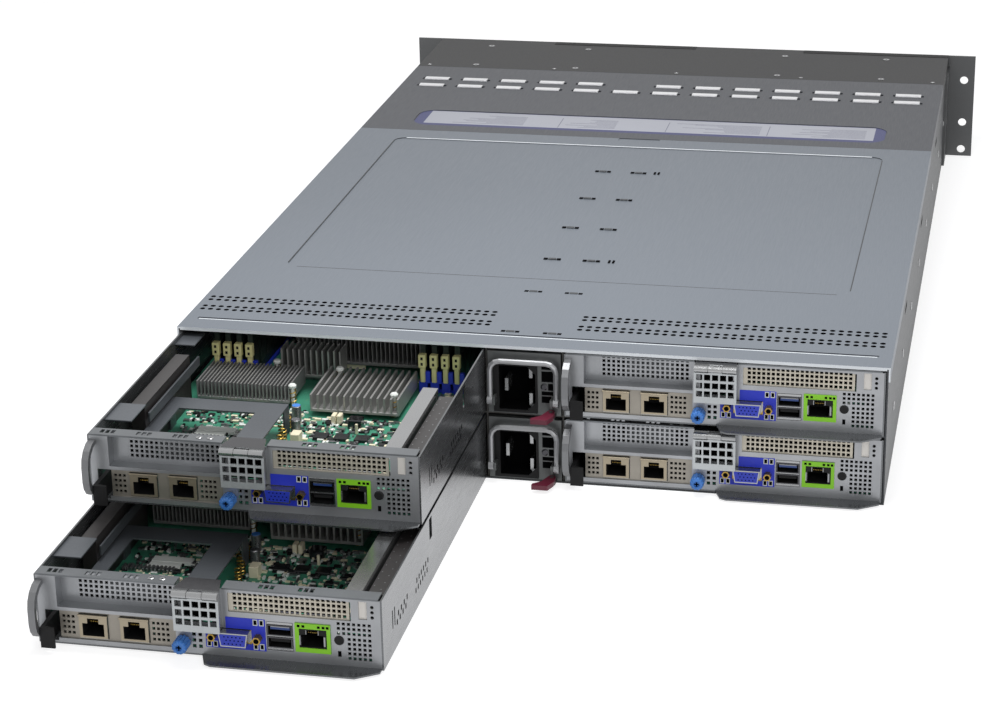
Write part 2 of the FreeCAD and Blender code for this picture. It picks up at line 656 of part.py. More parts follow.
def fan_frames():
    """Four square fan housings with their struts, stator discs and shafts."""
    half = FAN_SIZE / 2
    frames = []
    for x in FAN_PLACES:
        bore = ngon(x, FAN_Z, FAN_BORE_RADIUS / math.cos(math.pi / FAN_BORE_SIDES), FAN_BORE_SIDES)
        square = rect(x - half, x + half, FAN_Z - half, FAN_Z + half)
        housing = sheet("y", FAN_FRONT, FAN_DEPTH, square, [bore])
        centre = FreeCAD.Vector(x, FAN_FRONT, FAN_Z)
        stator = prism(centre, HUB_RADIUS, STATOR_THICK, Y_AXIS, 2 * BLADE_COUNT)
        shaft = prism(centre, SHAFT_RADIUS, STATOR_THICK + HUB_LENGTH, Y_AXIS)
        strut = block(x - half, x + half, FAN_FRONT, FAN_FRONT + STATOR_THICK, FAN_Z - STRUT_WIDTH / 2,
                      FAN_Z + STRUT_WIDTH / 2)
        frames.append(fuse([housing, stator, shaft, strut]))
    return group(frames)


def fan_blade():
    """One pitched blade that widens towards its tip, drawn beside the Y axis."""
    tip = FAN_BORE_RADIUS - BLADE_TIP_GAP
    root = HUB_RADIUS - BLADE_ROOT_SINK
    reach = math.sqrt(tip ** 2 - (BLADE_TIP_CHORD / 2 * math.sin(math.radians(BLADE_PITCH))) ** 2)
    outline = [(root, -BLADE_ROOT_CHORD / 2), (reach, -BLADE_TIP_CHORD / 2), (reach, BLADE_TIP_CHORD / 2),
               (root, BLADE_ROOT_CHORD / 2)]
    blade = sheet("z", -BLADE_SHEET / 2, BLADE_SHEET, outline)
    blade.rotate(FreeCAD.Vector(0, 0, 0), X_AXIS, BLADE_PITCH)
    return blade


def fan_rotor():
    """Hub and blades, with the bore that runs on the stator's shaft."""
    start = FreeCAD.Vector(0, -HUB_LENGTH / 2, 0)
    hub = prism(start, HUB_RADIUS, HUB_LENGTH, Y_AXIS, 2 * BLADE_COUNT)
    blades = []
    for index in range(BLADE_COUNT):
        blade = fan_blade()
        blade.rotate(FreeCAD.Vector(0, 0, 0), Y_AXIS, index * 360.0 / BLADE_COUNT)
        blades.append(blade)
    return fuse([hub] + blades).cut(pin_bore(start, SHAFT_RADIUS, HUB_LENGTH, Y_AXIS))


# ---------------------------------------------------------------- power supplies
def psu_cage():
    """Two walls and a shelf of one section, with the inner rails of the upper sleds."""
    high = SHELF_Z + SHEET
    quarter = [(CAGE_IN, SHEET), (CAGE_OUT, SHEET), (CAGE_OUT, SHELF_Z), (CAGE_OUT + RAIL_WIDTH, SHELF_Z),
               (CAGE_OUT + RAIL_WIDTH, high), (CAGE_OUT, high), (CAGE_OUT, TOP_IN), (CAGE_IN, TOP_IN),
               (CAGE_IN, high)]
    mirrored = [(-x, z) for x, z in reversed(quarter)]
    section = quarter + mirrored + [(-CAGE_IN, SHELF_Z), (CAGE_IN, SHELF_Z)]
    return sheet("y", SLED_FRONT, SLED_LENGTH - SHEET - RUN_GAP, section)


def inlet_outline(grow=0.0):
    """The mains inlet's outline: a rectangle with two corners cut off."""
    half_x = INLET_WIDTH / 2 + grow
    low, high = INLET_Z - INLET_HEIGHT / 2 - grow, INLET_Z + INLET_HEIGHT / 2 + grow
    left, right = INLET_X + half_x, INLET_X - half_x
    return [(right, low + INLET_CHAMFER), (right + INLET_CHAMFER, low), (left, low), (left, high),
            (right + INLET_CHAMFER, high), (right, high - INLET_CHAMFER)]


def psu_case():
    """The supply's housing with its mains inlet, bail lugs and latch pivot."""
    half = PSU_WIDTH / 2
    case = block(-half, half, -PSU_LENGTH, 0, 0, PSU_HEIGHT)
    hollow = sheet("y", -INLET_DEPTH, INLET_DEPTH, inlet_outline())
    vents = [block(column * PSU_VENT_PITCH - PSU_VENT_WIDTH / 2, column * PSU_VENT_PITCH + PSU_VENT_WIDTH / 2,
                   -PSU_LENGTH, -PSU_LENGTH + PSU_VENT_WIDTH, PSU_PLUG_LOW + PSU_PLUG_HEIGHT + PSU_VENT_WIDTH,
                   PSU_HEIGHT - PSU_VENT_WIDTH) for column in range(-2, 3)]
    pieces = [case.cut([hollow] + vents)]
    column = INLET_X + BLADE_SIDE
    places = ((column, INLET_Z), (column - 2 * BLADE_SIDE, INLET_Z - BLADE_SPREAD),
              (column - 2 * BLADE_SIDE, INLET_Z + BLADE_SPREAD))
    for x, z in places:
        pieces.append(block(x - BLADE_THICK / 2, x + BLADE_THICK / 2, -INLET_DEPTH, BLADE_LENGTH - INLET_DEPTH,
                            z - BLADE_WIDTH / 2, z + BLADE_WIDTH / 2))
    reach = BAIL_OUT + PIN_RADIUS + LUG_THICK
    lug_out = BAIL_HALF - BAIL_EYE_HALF - RUN_GAP
    for side in (-1, 1):
        pieces.append(block(side * lug_out, side * (lug_out - LUG_THICK), 0, reach,
                            BAIL_PIVOT_Z - LUG_HEIGHT / 2, BAIL_PIVOT_Z + LUG_HEIGHT / 2))
        pieces.append(prism(FreeCAD.Vector(side * (lug_out - LUG_THICK), BAIL_OUT, BAIL_PIVOT_Z), PIN_RADIUS,
                            LUG_THICK + RUN_GAP + 2 * BAIL_EYE_HALF, X_AXIS * side))
    pieces.append(block(LATCH_PIVOT_X - LATCH_WIDTH / 2, LATCH_PIVOT_X + LATCH_WIDTH / 2, 0,
                        LATCH_PIVOT_Y + LATCH_WIDTH / 2, 0, SHEET))
    pieces.append(prism(FreeCAD.Vector(LATCH_PIVOT_X, LATCH_PIVOT_Y, 0), LATCH_PIN_RADIUS,
                        SHEET + RUN_GAP + LATCH_THICK, Z_AXIS))
    return fuse(pieces)


def psu_bail():
    """The wire bail that the supply is pulled out by, with an eye on each lug's pin."""
    top = PSU_HEIGHT - BAIL_TOP_DROP - BAIL_RADIUS
    bend = [(BAIL_HALF - BAIL_CORNER * (1 - math.cos(angle)), top - BAIL_CORNER * (1 - math.sin(angle)))
            for angle in (math.radians(turn) for turn in (0, 30, 60, 90))]
    places = [(BAIL_HALF, BAIL_PIVOT_Z)] + bend
    places += [(-x, z) for x, z in reversed(places)]
    route = Part.makePolygon([FreeCAD.Vector(x, BAIL_OUT, z) for x, z in places])
    ring = polygon("z", BAIL_PIVOT_Z, ngon(BAIL_HALF, BAIL_OUT, BAIL_RADIUS, 8))
    wire = route.makePipeShell([ring], True, False, 1)
    eyes = []
    bores = []
    for side in (-1, 1):
        start = FreeCAD.Vector(side * (BAIL_HALF - BAIL_EYE_HALF), BAIL_OUT, BAIL_PIVOT_Z)
        eyes.append(prism(start, BAIL_EYE_RADIUS, 2 * BAIL_EYE_HALF, X_AXIS * side, 10))
        bores.append(pin_bore(start - X_AXIS * side, PIN_RADIUS, 2 * BAIL_EYE_HALF + 2 * SHEET, X_AXIS * side))
    return fuse([wire] + eyes).cut(bores)


def psu_latch():
    """The thumb latch: an eye on its pivot pin and an arm that leads rearwards."""
    low = SHEET + RUN_GAP
    centre = FreeCAD.Vector(LATCH_PIVOT_X, LATCH_PIVOT_Y, low)
    x, y = LATCH_PIVOT_X, LATCH_PIVOT_Y
    half = LATCH_WIDTH / 2
    arm = sheet("z", low, LATCH_THICK, [
        (x - half, y), (x - half / 2, y - half), (x + half / 2, y - half), (x + half, y),
        (x + LATCH_WIDTH, y + LATCH_REACH / 2),
        (x + 2 * LATCH_WIDTH, y + LATCH_REACH - half), (x + 2 * LATCH_WIDTH, y + LATCH_REACH),
        (x, y + LATCH_REACH), (x - half, y + LATCH_REACH / 2)])
    return arm.cut(pin_bore(centre - Z_AXIS, LATCH_PIN_RADIUS, LATCH_THICK + 2 * SHEET, Z_AXIS))


# ---------------------------------------------------------------- sleds
def across(s):
    """x of a place measured from the sled's left side."""
    return SLED_WIDTH / 2 - s


def span(s0, s1, z0, z1):
    """A rectangle of the panel, from places measured from the sled's left side."""
    return rect(across(s0), across(s1), z0, z1)


def sled_tray():
    """Floor with its rear tongue, side walls and the lever's pivot pin; the bridge frame stands in it."""
    right = SLED_WIDTH - TONGUE_END_INSET
    tongue = [(across(TONGUE_START), 0), (across(TONGUE_START + TONGUE_SLOPE / 2), TONGUE_DEPTH - TONGUE_EASE),
              (across(TONGUE_START + TONGUE_SLOPE), TONGUE_DEPTH), (across(right - TONGUE_DEPTH), TONGUE_DEPTH),
              (across(right), TONGUE_DEPTH / 3), (across(right), 0)]
    outline = [(across(0), -SLED_LENGTH), (across(0), 0)] + tongue + [(across(SLED_WIDTH), 0),
                                                                      (across(SLED_WIDTH), -SLED_LENGTH)]
    wall_top = SLED_HEIGHT - WALL_DROP
    left_wall = sheet("x", across(SHEET), SHEET, rect(-SLED_LENGTH, 0, 0, wall_top))
    near, far, low, high = SIDE_OVAL
    oval = rect(-far, -near, low, high)
    slits = [rect(-y - SLIT_WIDTH, -y, SLIT_LOW, SLIT_HIGH) for y in SIDE_SLITS]
    right_wall = sheet("x", across(SLED_WIDTH), SHEET, rect(-SLED_LENGTH, 0, 0, wall_top), [oval] + slits)
    pin = prism(FreeCAD.Vector(across(LEVER_S + LEVER_THICK / 2), -LEVER_LENGTH, 0), LEVER_PIN_RADIUS,
                LEVER_HIGH, Z_AXIS)
    return group([fuse([sheet("z", 0, SHEET, outline), left_wall, right_wall, pin]), bridge_frame()])


def bridge_frame():
    """The sheet-metal bridge that stands on the main board over the left card bay."""
    top = sheet("z", FRAME_TOP - SHEET, SHEET,
                rect(across(FRAME_LEFT), across(CARD_RIGHT), -FRAME_BACK, -FRAME_NEAR),
                [rect(across(FRAME_LEFT + FRAME_LEG), across(CARD_RIGHT - FRAME_BAR), -FRAME_BACK + FRAME_BAR,
                      -FRAME_NEAR - FRAME_LEG)])
    foot = FRAME_LEG + SHEET
    right = CARD_RIGHT - SHEET
    feet = [(right, -FRAME_BACK), (right, -FRAME_NEAR - foot), (FRAME_LEFT, -FRAME_BACK)]
    return fuse([top] + [block(across(s), across(s + SHEET), y, y + foot, BOARD_TOP, FRAME_TOP - SHEET)
                         for s, y in feet])


def flap_knuckles(parity):
    """Start and end places of every second knuckle of the flap's hinge."""
    pitch = (LOCK_RIGHT - LOCK_LEFT) / KNUCKLE_COUNT
    return [(LOCK_LEFT + index * pitch + KNUCKLE_GAP / 2, LOCK_LEFT + (index + 1) * pitch - KNUCKLE_GAP / 2)
            for index in range(KNUCKLE_COUNT) if index % 2 == parity]


def lock_housing():
    """Cheeks, sill and top plate behind the flap, with the fixed knuckles and the hinge pin."""
    top = SLED_HEIGHT - SHEET
    left, right = LOCK_LEFT + LOCK_INSET, LOCK_RIGHT - LOCK_INSET
    pieces = [block(across(s), across(s + SHEET), 0, LOCK_DEPTH, LOCK_LOW, top)
              for s in (left, right - SHEET)]
    pieces.append(block(across(left), across(right), 0, LOCK_DEPTH, LOCK_LOW - SHEET, LOCK_LOW))
    plate_end = HINGE_Y - KNUCKLE_RADIUS - KNUCKLE_GAP
    pieces.append(sheet("z", top, SHEET, [
        (across(LOCK_LEFT), plate_end), (across(LOCK_RIGHT), plate_end),
        (across(LOCK_RIGHT - LOCK_TAPER), -FLANGE_DEPTH), (across(LOCK_LEFT + LOCK_TAPER), -FLANGE_DEPTH)]))
    for start, end in flap_knuckles(0):
        axis = FreeCAD.Vector(across(start), HINGE_Y, HINGE_Z)
        pieces.append(prism(axis, KNUCKLE_RADIUS, end - start, -X_AXIS, KNUCKLE_SIDES))
        pieces.append(block(across(start), across(end), plate_end - SHEET, HINGE_Y - KNUCKLE_RADIUS / 4,
                            top - WEB_THICK / 2, top + WEB_THICK / 2))
    pieces.append(prism(FreeCAD.Vector(across(LOCK_LEFT + KNUCKLE_GAP), HINGE_Y, HINGE_Z), HINGE_PIN_RADIUS,
                        LOCK_RIGHT - LOCK_LEFT - 2 * KNUCKLE_GAP, -X_AXIS))
    return fuse(pieces)


def sled_flap():
    """The perforated flap that hangs from the hinge, with the knuckles that run on its pin."""
    low, high = FLAP_LOW, HINGE_Z - KNUCKLE_RADIUS - KNUCKLE_GAP
    middle = (LOCK_LEFT + LOCK_RIGHT) / 2
    holes = []
    for column in range(FLAP_COLUMNS):
        s = middle + (column - (FLAP_COLUMNS - 1) / 2) * FLAP_PITCH
        for row in range(FLAP_ROWS):
            z = FLAP_HOLES_LOW + row * (FLAP_HOLE_HEIGHT + FLAP_WEB)
            holes.append(span(s - FLAP_HOLE_WIDTH / 2, s + FLAP_HOLE_WIDTH / 2, z, z + FLAP_HOLE_HEIGHT))
    near = HINGE_Y - SHEET / 2
    pieces = [sheet("y", near, SHEET, span(LOCK_LEFT, LOCK_RIGHT, low, high), holes)]
    bores = []
    for start, end in flap_knuckles(1):
        axis = FreeCAD.Vector(across(start), HINGE_Y, HINGE_Z)
        pieces.append(prism(axis, KNUCKLE_RADIUS, end - start, -X_AXIS, KNUCKLE_SIDES))
        pieces.append(block(across(start), across(end), near, near + SHEET, high - SHEET, HINGE_Z))
        bores.append(pin_bore(FreeCAD.Vector(across(start - SHEET), HINGE_Y, HINGE_Z), HINGE_PIN_RADIUS,
                              end - start + 2 * SHEET, -X_AXIS))
    return fuse(pieces).cut(bores)


def pull_handle():
    """The D-shaped pull loop that stands on the panel's left edge."""
    loops = []
    for inset in (0.0, HANDLE_BAND):
        low, high, reach = HANDLE_LOW + inset, HANDLE_HIGH - inset, HANDLE_REACH - inset
        bows = [(reach * math.sin(turn), HANDLE_BOW * (1 - math.cos(turn)))
                for turn in (math.radians(step * 90 / HANDLE_STEPS) for step in range(HANDLE_STEPS + 1))]
        outline = [(y, low + z) for y, z in bows] + [(y, high - z) for y, z in reversed(bows)]
        loops.append(outline)
    outer, inner = loops
    return sheet("x", across(HANDLE_LEFT + HANDLE_WIDTH), HANDLE_WIDTH, outer + inner[::-1])


def jack_windows():
    """Cut-outs of the panel round the ports of the main board."""
    gap = PORT_GAP
    half = JACK_WIDTH / 2 + gap
    windows = [span(ADMIN_JACK - half, ADMIN_JACK + half,
                    ADMIN_JACK_LOW - gap, ADMIN_JACK_LOW + JACK_HEIGHT + gap)]
    half = USB_WIDTH / 2 + gap
    windows.append(span(USB_S - half, USB_S + half, USB_LOW - gap, USB_LOW + USB_HEIGHT + gap))
    half, rise = VGA_FLANGE / 2 + gap, VGA_HEIGHT / 2 + gap
    windows.append(span(VGA_S - half, VGA_S + half, VGA_Z - rise, VGA_Z + rise))
    return windows


def network_window():
    """Cut-out of the panel for the network card's face plate and the release lever beside it."""
    left, low = LEVER_S - PORT_GAP, LEVER_LOW - PORT_GAP
    step = LEVER_S + LEVER_THICK + LEVER_SWING_ROOM
    return [(across(left), low), (across(step), low), (across(step), NET_LOW), (across(NET_RIGHT), NET_LOW),
            (across(NET_RIGHT), NET_HIGH), (across(left), NET_HIGH)]


def sled_panel():
    """The sled's rear panel: face plate, card bay, lock housing, rib with its flange, pull loop, covers."""
    top = SLED_HEIGHT - SHEET
    left, right = across(SHEET), across(SLED_WIDTH - SHEET)
    notch = [(across(BAY_LEFT), top), (across(BAY_LEFT), BAY_LOW),
             (across(BAY_RIGHT), BAY_LOW), (across(BAY_RIGHT), top)]
    outline = [(right, SHEET), (left, SHEET), (left, top)] + notch + [(right, top)]
    windows = [
        network_window(),
        span(LOCK_LEFT + LOCK_EDGE, LOCK_RIGHT - LOCK_EDGE, LOCK_LOW + SHEET, top - LOCK_EDGE),
        span(RISER_LEFT, RISER_RIGHT, RISER_LOW, SLED_HEIGHT - RISER_TOP_DROP - SHEET),
        span(PILL_LEFT, PILL_RIGHT, PILL_LOW, SLED_HEIGHT - PILL_TOP_DROP),
        ngon(across(SCREW_S), SCREW_Z, SCREW_HOLE_RADIUS, SCREW_HOLE_SIDES),
    ] + jack_windows()
    face = sheet("y", -SHEET, SHEET, outline, windows)
    return group([face, pull_handle(), lock_housing(), card_bay(top), top_rib(top), riser_cover(),
                  network_plate()])


def card_bay(top):
    """The recess of the left card bay: floor, cheeks, vented plate at its back, and the flange above."""
    left, right, back = across(BAY_LEFT - SHEET), across(BAY_RIGHT + SHEET), -BAY_DEPTH - SHEET
    floor = block(left, right, back, -SHEET, BAY_LOW - SHEET, BAY_LOW)
    plate = block(left, right, back, -BAY_DEPTH, BAY_LOW - SHEET, top)
    flange = block(across(SHEET), right, back, 0, top, SLED_HEIGHT)
    cheeks = [block(across(s), across(s + SHEET), back, -SHEET, BAY_LOW - SHEET, top)
              for s in (BAY_LEFT - SHEET, BAY_RIGHT)]
    return fuse([floor, plate, flange] + cheeks)


def top_rib(top):
    """The right-hand flange of the panel and the rib that runs back from it, over its web."""
    right = SLED_WIDTH - RIB_FROM_RIGHT
    wall = SLED_WIDTH - 2 * SHEET
    low = top - RIB_DROP
    flange = block(across(LOCK_RIGHT), across(wall), -FLANGE_DEPTH, 0, top, SLED_HEIGHT)
    bar = block(across(right - RIB_WIDTH), across(right), -RIB_LENGTH, -2 * SHEET, low, top)
    web = block(across(right - SHEET), across(right), -RIB_LENGTH, -2 * SHEET, top - RIB_HEIGHT, top)
    return fuse([flange, bar, web])


def riser_cover():
    """The cover plate of the right-hand card slot, behind the panel."""
    high = SLED_HEIGHT - SHEET - RIB_DROP
    outline = span(RISER_LEFT - RISER_LAP, RISER_RIGHT - SHEET, RISER_LOW - RISER_LAP, high)
    return sheet("y", -2 * SHEET, SHEET, outline)


def network_plate():
    """The network card's face plate, with the cut-outs of its two jacks."""
    gap = PORT_GAP
    half = JACK_WIDTH / 2 + gap
    jacks = [span(s - half, s + half, NET_JACK_LOW - gap, NET_JACK_LOW + JACK_HEIGHT + gap) for s in NET_JACKS]
    left = NET_LEFT + LEVER_SWING_ROOM + SHEET
    outline = span(left, NET_RIGHT + SHEET, NET_LOW - SHEET, NET_HIGH - SHEET / 2)
    return sheet("y", -2 * SHEET, SHEET, outline, jacks)


def network_jack(s, low):
    """A network jack: a metal can with the stepped hollow that takes a plug."""
    half = JACK_WIDTH / 2
    plug = JACK_PLUG_WIDTH / 2
    tab = JACK_TAB_WIDTH / 2
    floor = low + JACK_FLOOR
    step = floor + JACK_PLUG_HEIGHT
    top = step + JACK_TAB_HEIGHT
    x = across(s)
    can = block(x - half, x + half, -JACK_DEPTH, 0, low, low + JACK_HEIGHT)
    hollow = sheet("y", -JACK_HOLLOW, JACK_HOLLOW, [
        (x - plug, floor), (x + plug, floor), (x + plug, step), (x + tab, step), (x + tab, top),
        (x - tab, top), (x - tab, step), (x - plug, step)])
    return can.cut(hollow)


def usb_stack():
    """Two USB sockets in one can."""
    x = across(USB_S)
    half = USB_WIDTH / 2
    can = block(x - half, x + half, -USB_DEPTH, 0, USB_LOW, USB_LOW + USB_HEIGHT)
    rib = (USB_HEIGHT - 2 * USB_PORT_HEIGHT) / 3
    hollows = []
    for index in range(2):
        low = USB_LOW + rib + index * (USB_PORT_HEIGHT + rib)
        hollows.append(block(x - USB_PORT_WIDTH / 2, x + USB_PORT_WIDTH / 2, -USB_HOLLOW, 0,
                             low, low + USB_PORT_HEIGHT))
    return can.cut(hollows)


def display_port():
    """The display connector: a slanted shell between two hexagon posts, on its block."""
    x, half, rise = across(VGA_S), VGA_WIDTH / 2, VGA_HEIGHT / 2
    shell = sheet("y", -SHEET, VGA_REACH + SHEET, [
        (x - half, VGA_Z + rise), (x + half, VGA_Z + rise), (x + half - VGA_SLANT, VGA_Z - rise),
        (x - half + VGA_SLANT, VGA_Z - rise)])
    wide = VGA_FLANGE / 2
    body = block(x - wide, x + wide, -VGA_BACK, -SHEET - PORT_GAP, BOARD_TOP, VGA_Z + rise)
    flange = block(x - wide, x + wide, -SHEET - PORT_GAP, 0, VGA_Z - rise, VGA_Z + rise)
    pieces = [body, flange, shell]
    for side in (-1, 1):
        hexagon = ngon(x + side * POST_SPREAD, VGA_Z, POST_RADIUS, 6)
        pieces.append(sheet("y", -SHEET, POST_REACH + SHEET, hexagon))
    return fuse(pieces)


def dimm_starts():
    """Rear end of the two rows of memory banks."""
    return (-DIMM_START, -DIMM_START - DIMM_LENGTH - DIMM_ROW_GAP)


def dimm_bank(left, start):
    """Memory modules that stand in their sockets, joined by the sockets' base."""
    width = DIMM_PITCH * (DIMM_COUNT - 1) + DIMM_BASE
    floor = BOARD_TOP + DIMM_SOCKET
    pieces = [block(across(left), across(left + width), start - DIMM_LENGTH, start, BOARD_TOP, floor)]
    for index in range(DIMM_COUNT):
        middle = left + DIMM_BASE / 2 + index * DIMM_PITCH
        pieces.append(block(across(middle - DIMM_THICK / 2), across(middle + DIMM_THICK / 2),
                            start - DIMM_LENGTH, start, floor, DIMM_TOP))
    return fuse(pieces)


def main_board_sheet():
    """The green board with its edge tongue, which runs past the tray into the power board."""
    left, right = across(BOARD_SIDE), across(SLED_WIDTH - BOARD_SIDE)
    far = -SLED_LENGTH + 2 * SHEET
    tip = -SLED_LENGTH - BOARD_EDGE_TONGUE
    near = -2 * SHEET - PORT_GAP
    room = across(LEVER_ROOM)
    deep = -LEVER_LENGTH - LEVER_EYE_RADIUS - STUD_RADIUS
    outline = [(left, far), (left, deep), (room, deep), (room, near), (right, near), (right, far),
               (across(EDGE_RIGHT), far), (across(EDGE_RIGHT), tip), (across(EDGE_LEFT), tip),
               (across(EDGE_LEFT), far)]
    board = sheet("z", BOARD_Z, BOARD_SHEET, outline)
    inset = 2 * STUD_RADIUS
    places = [(s, y) for s in (BOARD_SIDE + inset, SLED_WIDTH - BOARD_SIDE - inset)
              for y in (deep - inset, far + inset)]
    studs = [sheet("z", SHEET, BOARD_Z - SHEET, ngon(across(s), y, STUD_RADIUS, 4)) for s, y in places]
    return fuse([board] + studs)


def port_block(s, width, depth, high):
    """The block that carries a port over the board."""
    return block(across(s - width / 2), across(s + width / 2), -depth, -3 * SHEET, BOARD_TOP, high)


def sled_board():
    """The main board with its ports, memory, card and riser sockets."""
    left, right = SLOT_SIDE_LEFT, SLED_WIDTH - SLOT_SIDE_RIGHT - SLOT_WIDTH
    near = (SLOT_NEAR + SLOT_STAGGER, SLOT_NEAR)
    sockets = [block(across(s), across(s + SLOT_WIDTH), -y - SLOT_LENGTH, -y, BOARD_TOP, SLOT_TOP)
               for s, y in zip((left, right), near)]
    card = block(across(LEVER_ROOM + PORT_GAP), across(CARD_RIGHT - SHEET - FRAME_LEG / 3), -CARD_DEPTH,
                 -JACK_DEPTH - SHEET, BOARD_TOP, BOARD_TOP + BOARD_SHEET)
    pieces = [main_board_sheet(), usb_stack(), display_port(), card] + sockets
    pieces += [network_jack(s, NET_JACK_LOW) for s in NET_JACKS]
    pieces.append(network_jack(ADMIN_JACK, ADMIN_JACK_LOW))
    pieces.append(port_block(ADMIN_JACK, JACK_WIDTH, JACK_DEPTH, ADMIN_JACK_LOW))
    pieces.append(port_block(USB_S, USB_WIDTH, USB_DEPTH, USB_LOW))
    for start in dimm_starts():
        pieces += [dimm_bank(bank, start) for bank in (DIMM_LEFT_S, DIMM_RIGHT_S)]
    return group(pieces)


def fin_sink(sink):
    """An extruded heat sink: a base plate, fins that run front to rear, and a block below."""
    x0, x1 = across(sink.right), across(sink.left)
    base = BOARD_TOP + sink.foot
    floor = base + sink.plate
    pitch = (x1 - x0 - FIN_THICK) / (sink.fins - 1)
    combs = []
    for index in range(sink.fins):
        start, end = x0 + index * pitch, x0 + index * pitch + FIN_THICK
        combs += [(start, floor), (start, sink.top), (end, sink.top), (end, floor)]
    section = [(x0, base)] + combs[1:-1] + [(x1, base)]
    fins = sheet("y", -sink.far, sink.far - sink.near, section)
    pedestal = block(x0 + sink.inset, x1 - sink.inset, -sink.far + sink.inset, -sink.near - sink.inset,
                     BOARD_TOP, base)
    return fuse([fins, pedestal])


def sled_heatsinks():
    """Sinks of the two processors, of their supply and of the two controllers."""
    return group([fin_sink(sink) for sink in CPU_SINKS + [SMALL_SINK, WIDE_SINK, TALL_SINK]])


def sled_lever():
    """The black release lever: an eye on its pivot pin, a blade and a thumb pad."""
    x = across(LEVER_S + LEVER_THICK / 2)
    centre = FreeCAD.Vector(x, -LEVER_LENGTH, LEVER_LOW)
    height = LEVER_HIGH - LEVER_LOW
    eye = sheet("z", LEVER_LOW, height, ngon(x, -LEVER_LENGTH, LEVER_EYE_RADIUS, 8))
    half = LEVER_THICK / 2
    blade = sheet("z", LEVER_LOW, height, [
        (x - half, -LEVER_LENGTH), (x + half, -LEVER_LENGTH), (x + half, LEVER_REACH),
        (x - LEVER_PAD + half, LEVER_REACH), (x - LEVER_PAD + half, LEVER_REACH - half),
        (x - half, LEVER_REACH - LEVER_THICK)])
    return fuse([eye, blade]).cut(pin_bore(centre - Z_AXIS, LEVER_PIN_RADIUS, height + 2 * SHEET, Z_AXIS))


def sled_thumbscrew():
    """The captive thumbscrew: a many-sided head and a shank through the panel."""
    start, tip = RUN_GAP, RUN_GAP + SCREW_HEAD_LENGTH
    head = sheet("y", start, tip - start, ngon(0, 0, SCREW_HEAD_RADIUS, SCREW_FLUTES))
    end = FreeCAD.Vector(0, -SCREW_SHANK_LENGTH, 0)
    shank = prism(end, SCREW_SHANK_RADIUS, SCREW_SHANK_LENGTH + start, Y_AXIS)
    return moved(fuse([head, shank]), across(SCREW_S), 0, SCREW_Z)


# ---------------------------------------------------------------- build
def sled_place(name):
    """Where a sled's own origin lies in the server."""
    level, column = name.split("_")
    x = SLED_MIDDLE if column == "left" else -SLED_MIDDLE
    return FreeCAD.Vector(x, REAR + SLED_OUT[name], LEVELS[0] if level == "lower" else LEVELS[1])


def write_sleds():
    """Draws one sled and writes a copy of its pieces for each bay."""
    pieces = {"tray": sled_tray(), "panel": sled_panel(), "main_board": sled_board(),
              "heatsinks": sled_heatsinks(), "flap": sled_flap(), "release_lever": sled_lever(),
              "thumbscrew": sled_thumbscrew()}
    for name in SLED_OUT:
        place = sled_place(name)
        for piece, shape in pieces.items():
            write("sled_" + name + "_" + piece, moved(shape, *place))


def write_power_supplies():
    """Writes the two power supplies, one on each level of the cage."""
    pieces = {"case": psu_case(), "bail": psu_bail(), "latch": psu_latch()}
    for name, level in zip(("lower", "upper"), LEVELS):
        for piece, shape in pieces.items():
            write("psu_" + name + "_" + piece, moved(shape, 0, REAR, level))


def write_drives():
    """Writes the twelve drive carriers, by column from the left and by row from below."""
    carrier = drive_carrier()
    for column, x in enumerate(column_middles()):
        for row in range(DRIVE_ROWS):
            z = SHEET + row * DRIVE_ROW_HEIGHT + RUN_GAP
            write(f"drive_{column + 1}{'abc'[row]}", moved(carrier, x, FRONT, z))


def main():
    """Builds every piece of the server and writes it."""
    os.makedirs("parts", exist_ok=True)
    write("chassis_tub", chassis_tub())
    write("rear_cover", rear_cover())
    write("fan_cover", fan_cover())
    write("drive_cage", drive_cage())
    write("psu_cage", psu_cage())
    write("drive_backplane", drive_backplane())
    write("power_board", power_board())
    write("fan_frames", fan_frames())
    write("rack_ear_left", rack_ear(1))
    write("rack_ear_right", rack_ear(-1))
    rotor = fan_rotor()
    for index, x in enumerate(FAN_PLACES):
        middle = FAN_REAR - FAN_DEPTH + STATOR_THICK + RUN_GAP + HUB_LENGTH / 2
        write(f"fan_rotor_{index + 1}", moved(rotor, x, middle, FAN_Z))
    write_power_supplies()
    write_drives()
    write_sleds()


main()
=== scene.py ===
"""A two-unit rack server with sliding sleds: finishes, fittings and studio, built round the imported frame."""

import logging
import math
import random
from dataclasses import dataclass
from enum import Enum
from typing import Callable, Iterable, Sequence

import bmesh
import bpy
from mathutils import Euler, Matrix, Vector
from mathutils.geometry import tessellate_polygon


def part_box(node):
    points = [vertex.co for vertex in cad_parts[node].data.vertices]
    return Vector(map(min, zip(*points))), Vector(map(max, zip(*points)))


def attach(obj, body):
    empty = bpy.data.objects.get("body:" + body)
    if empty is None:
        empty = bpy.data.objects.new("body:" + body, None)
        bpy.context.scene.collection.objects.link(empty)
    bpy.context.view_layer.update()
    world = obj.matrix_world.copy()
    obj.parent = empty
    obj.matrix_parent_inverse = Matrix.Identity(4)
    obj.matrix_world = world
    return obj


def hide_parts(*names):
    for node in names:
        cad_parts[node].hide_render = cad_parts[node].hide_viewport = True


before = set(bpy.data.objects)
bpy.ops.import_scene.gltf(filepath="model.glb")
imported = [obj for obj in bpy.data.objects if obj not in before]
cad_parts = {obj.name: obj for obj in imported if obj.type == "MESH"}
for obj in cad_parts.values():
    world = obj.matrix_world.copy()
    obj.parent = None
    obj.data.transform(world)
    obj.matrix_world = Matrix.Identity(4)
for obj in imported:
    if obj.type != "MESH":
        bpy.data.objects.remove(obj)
log = logging.getLogger("server")

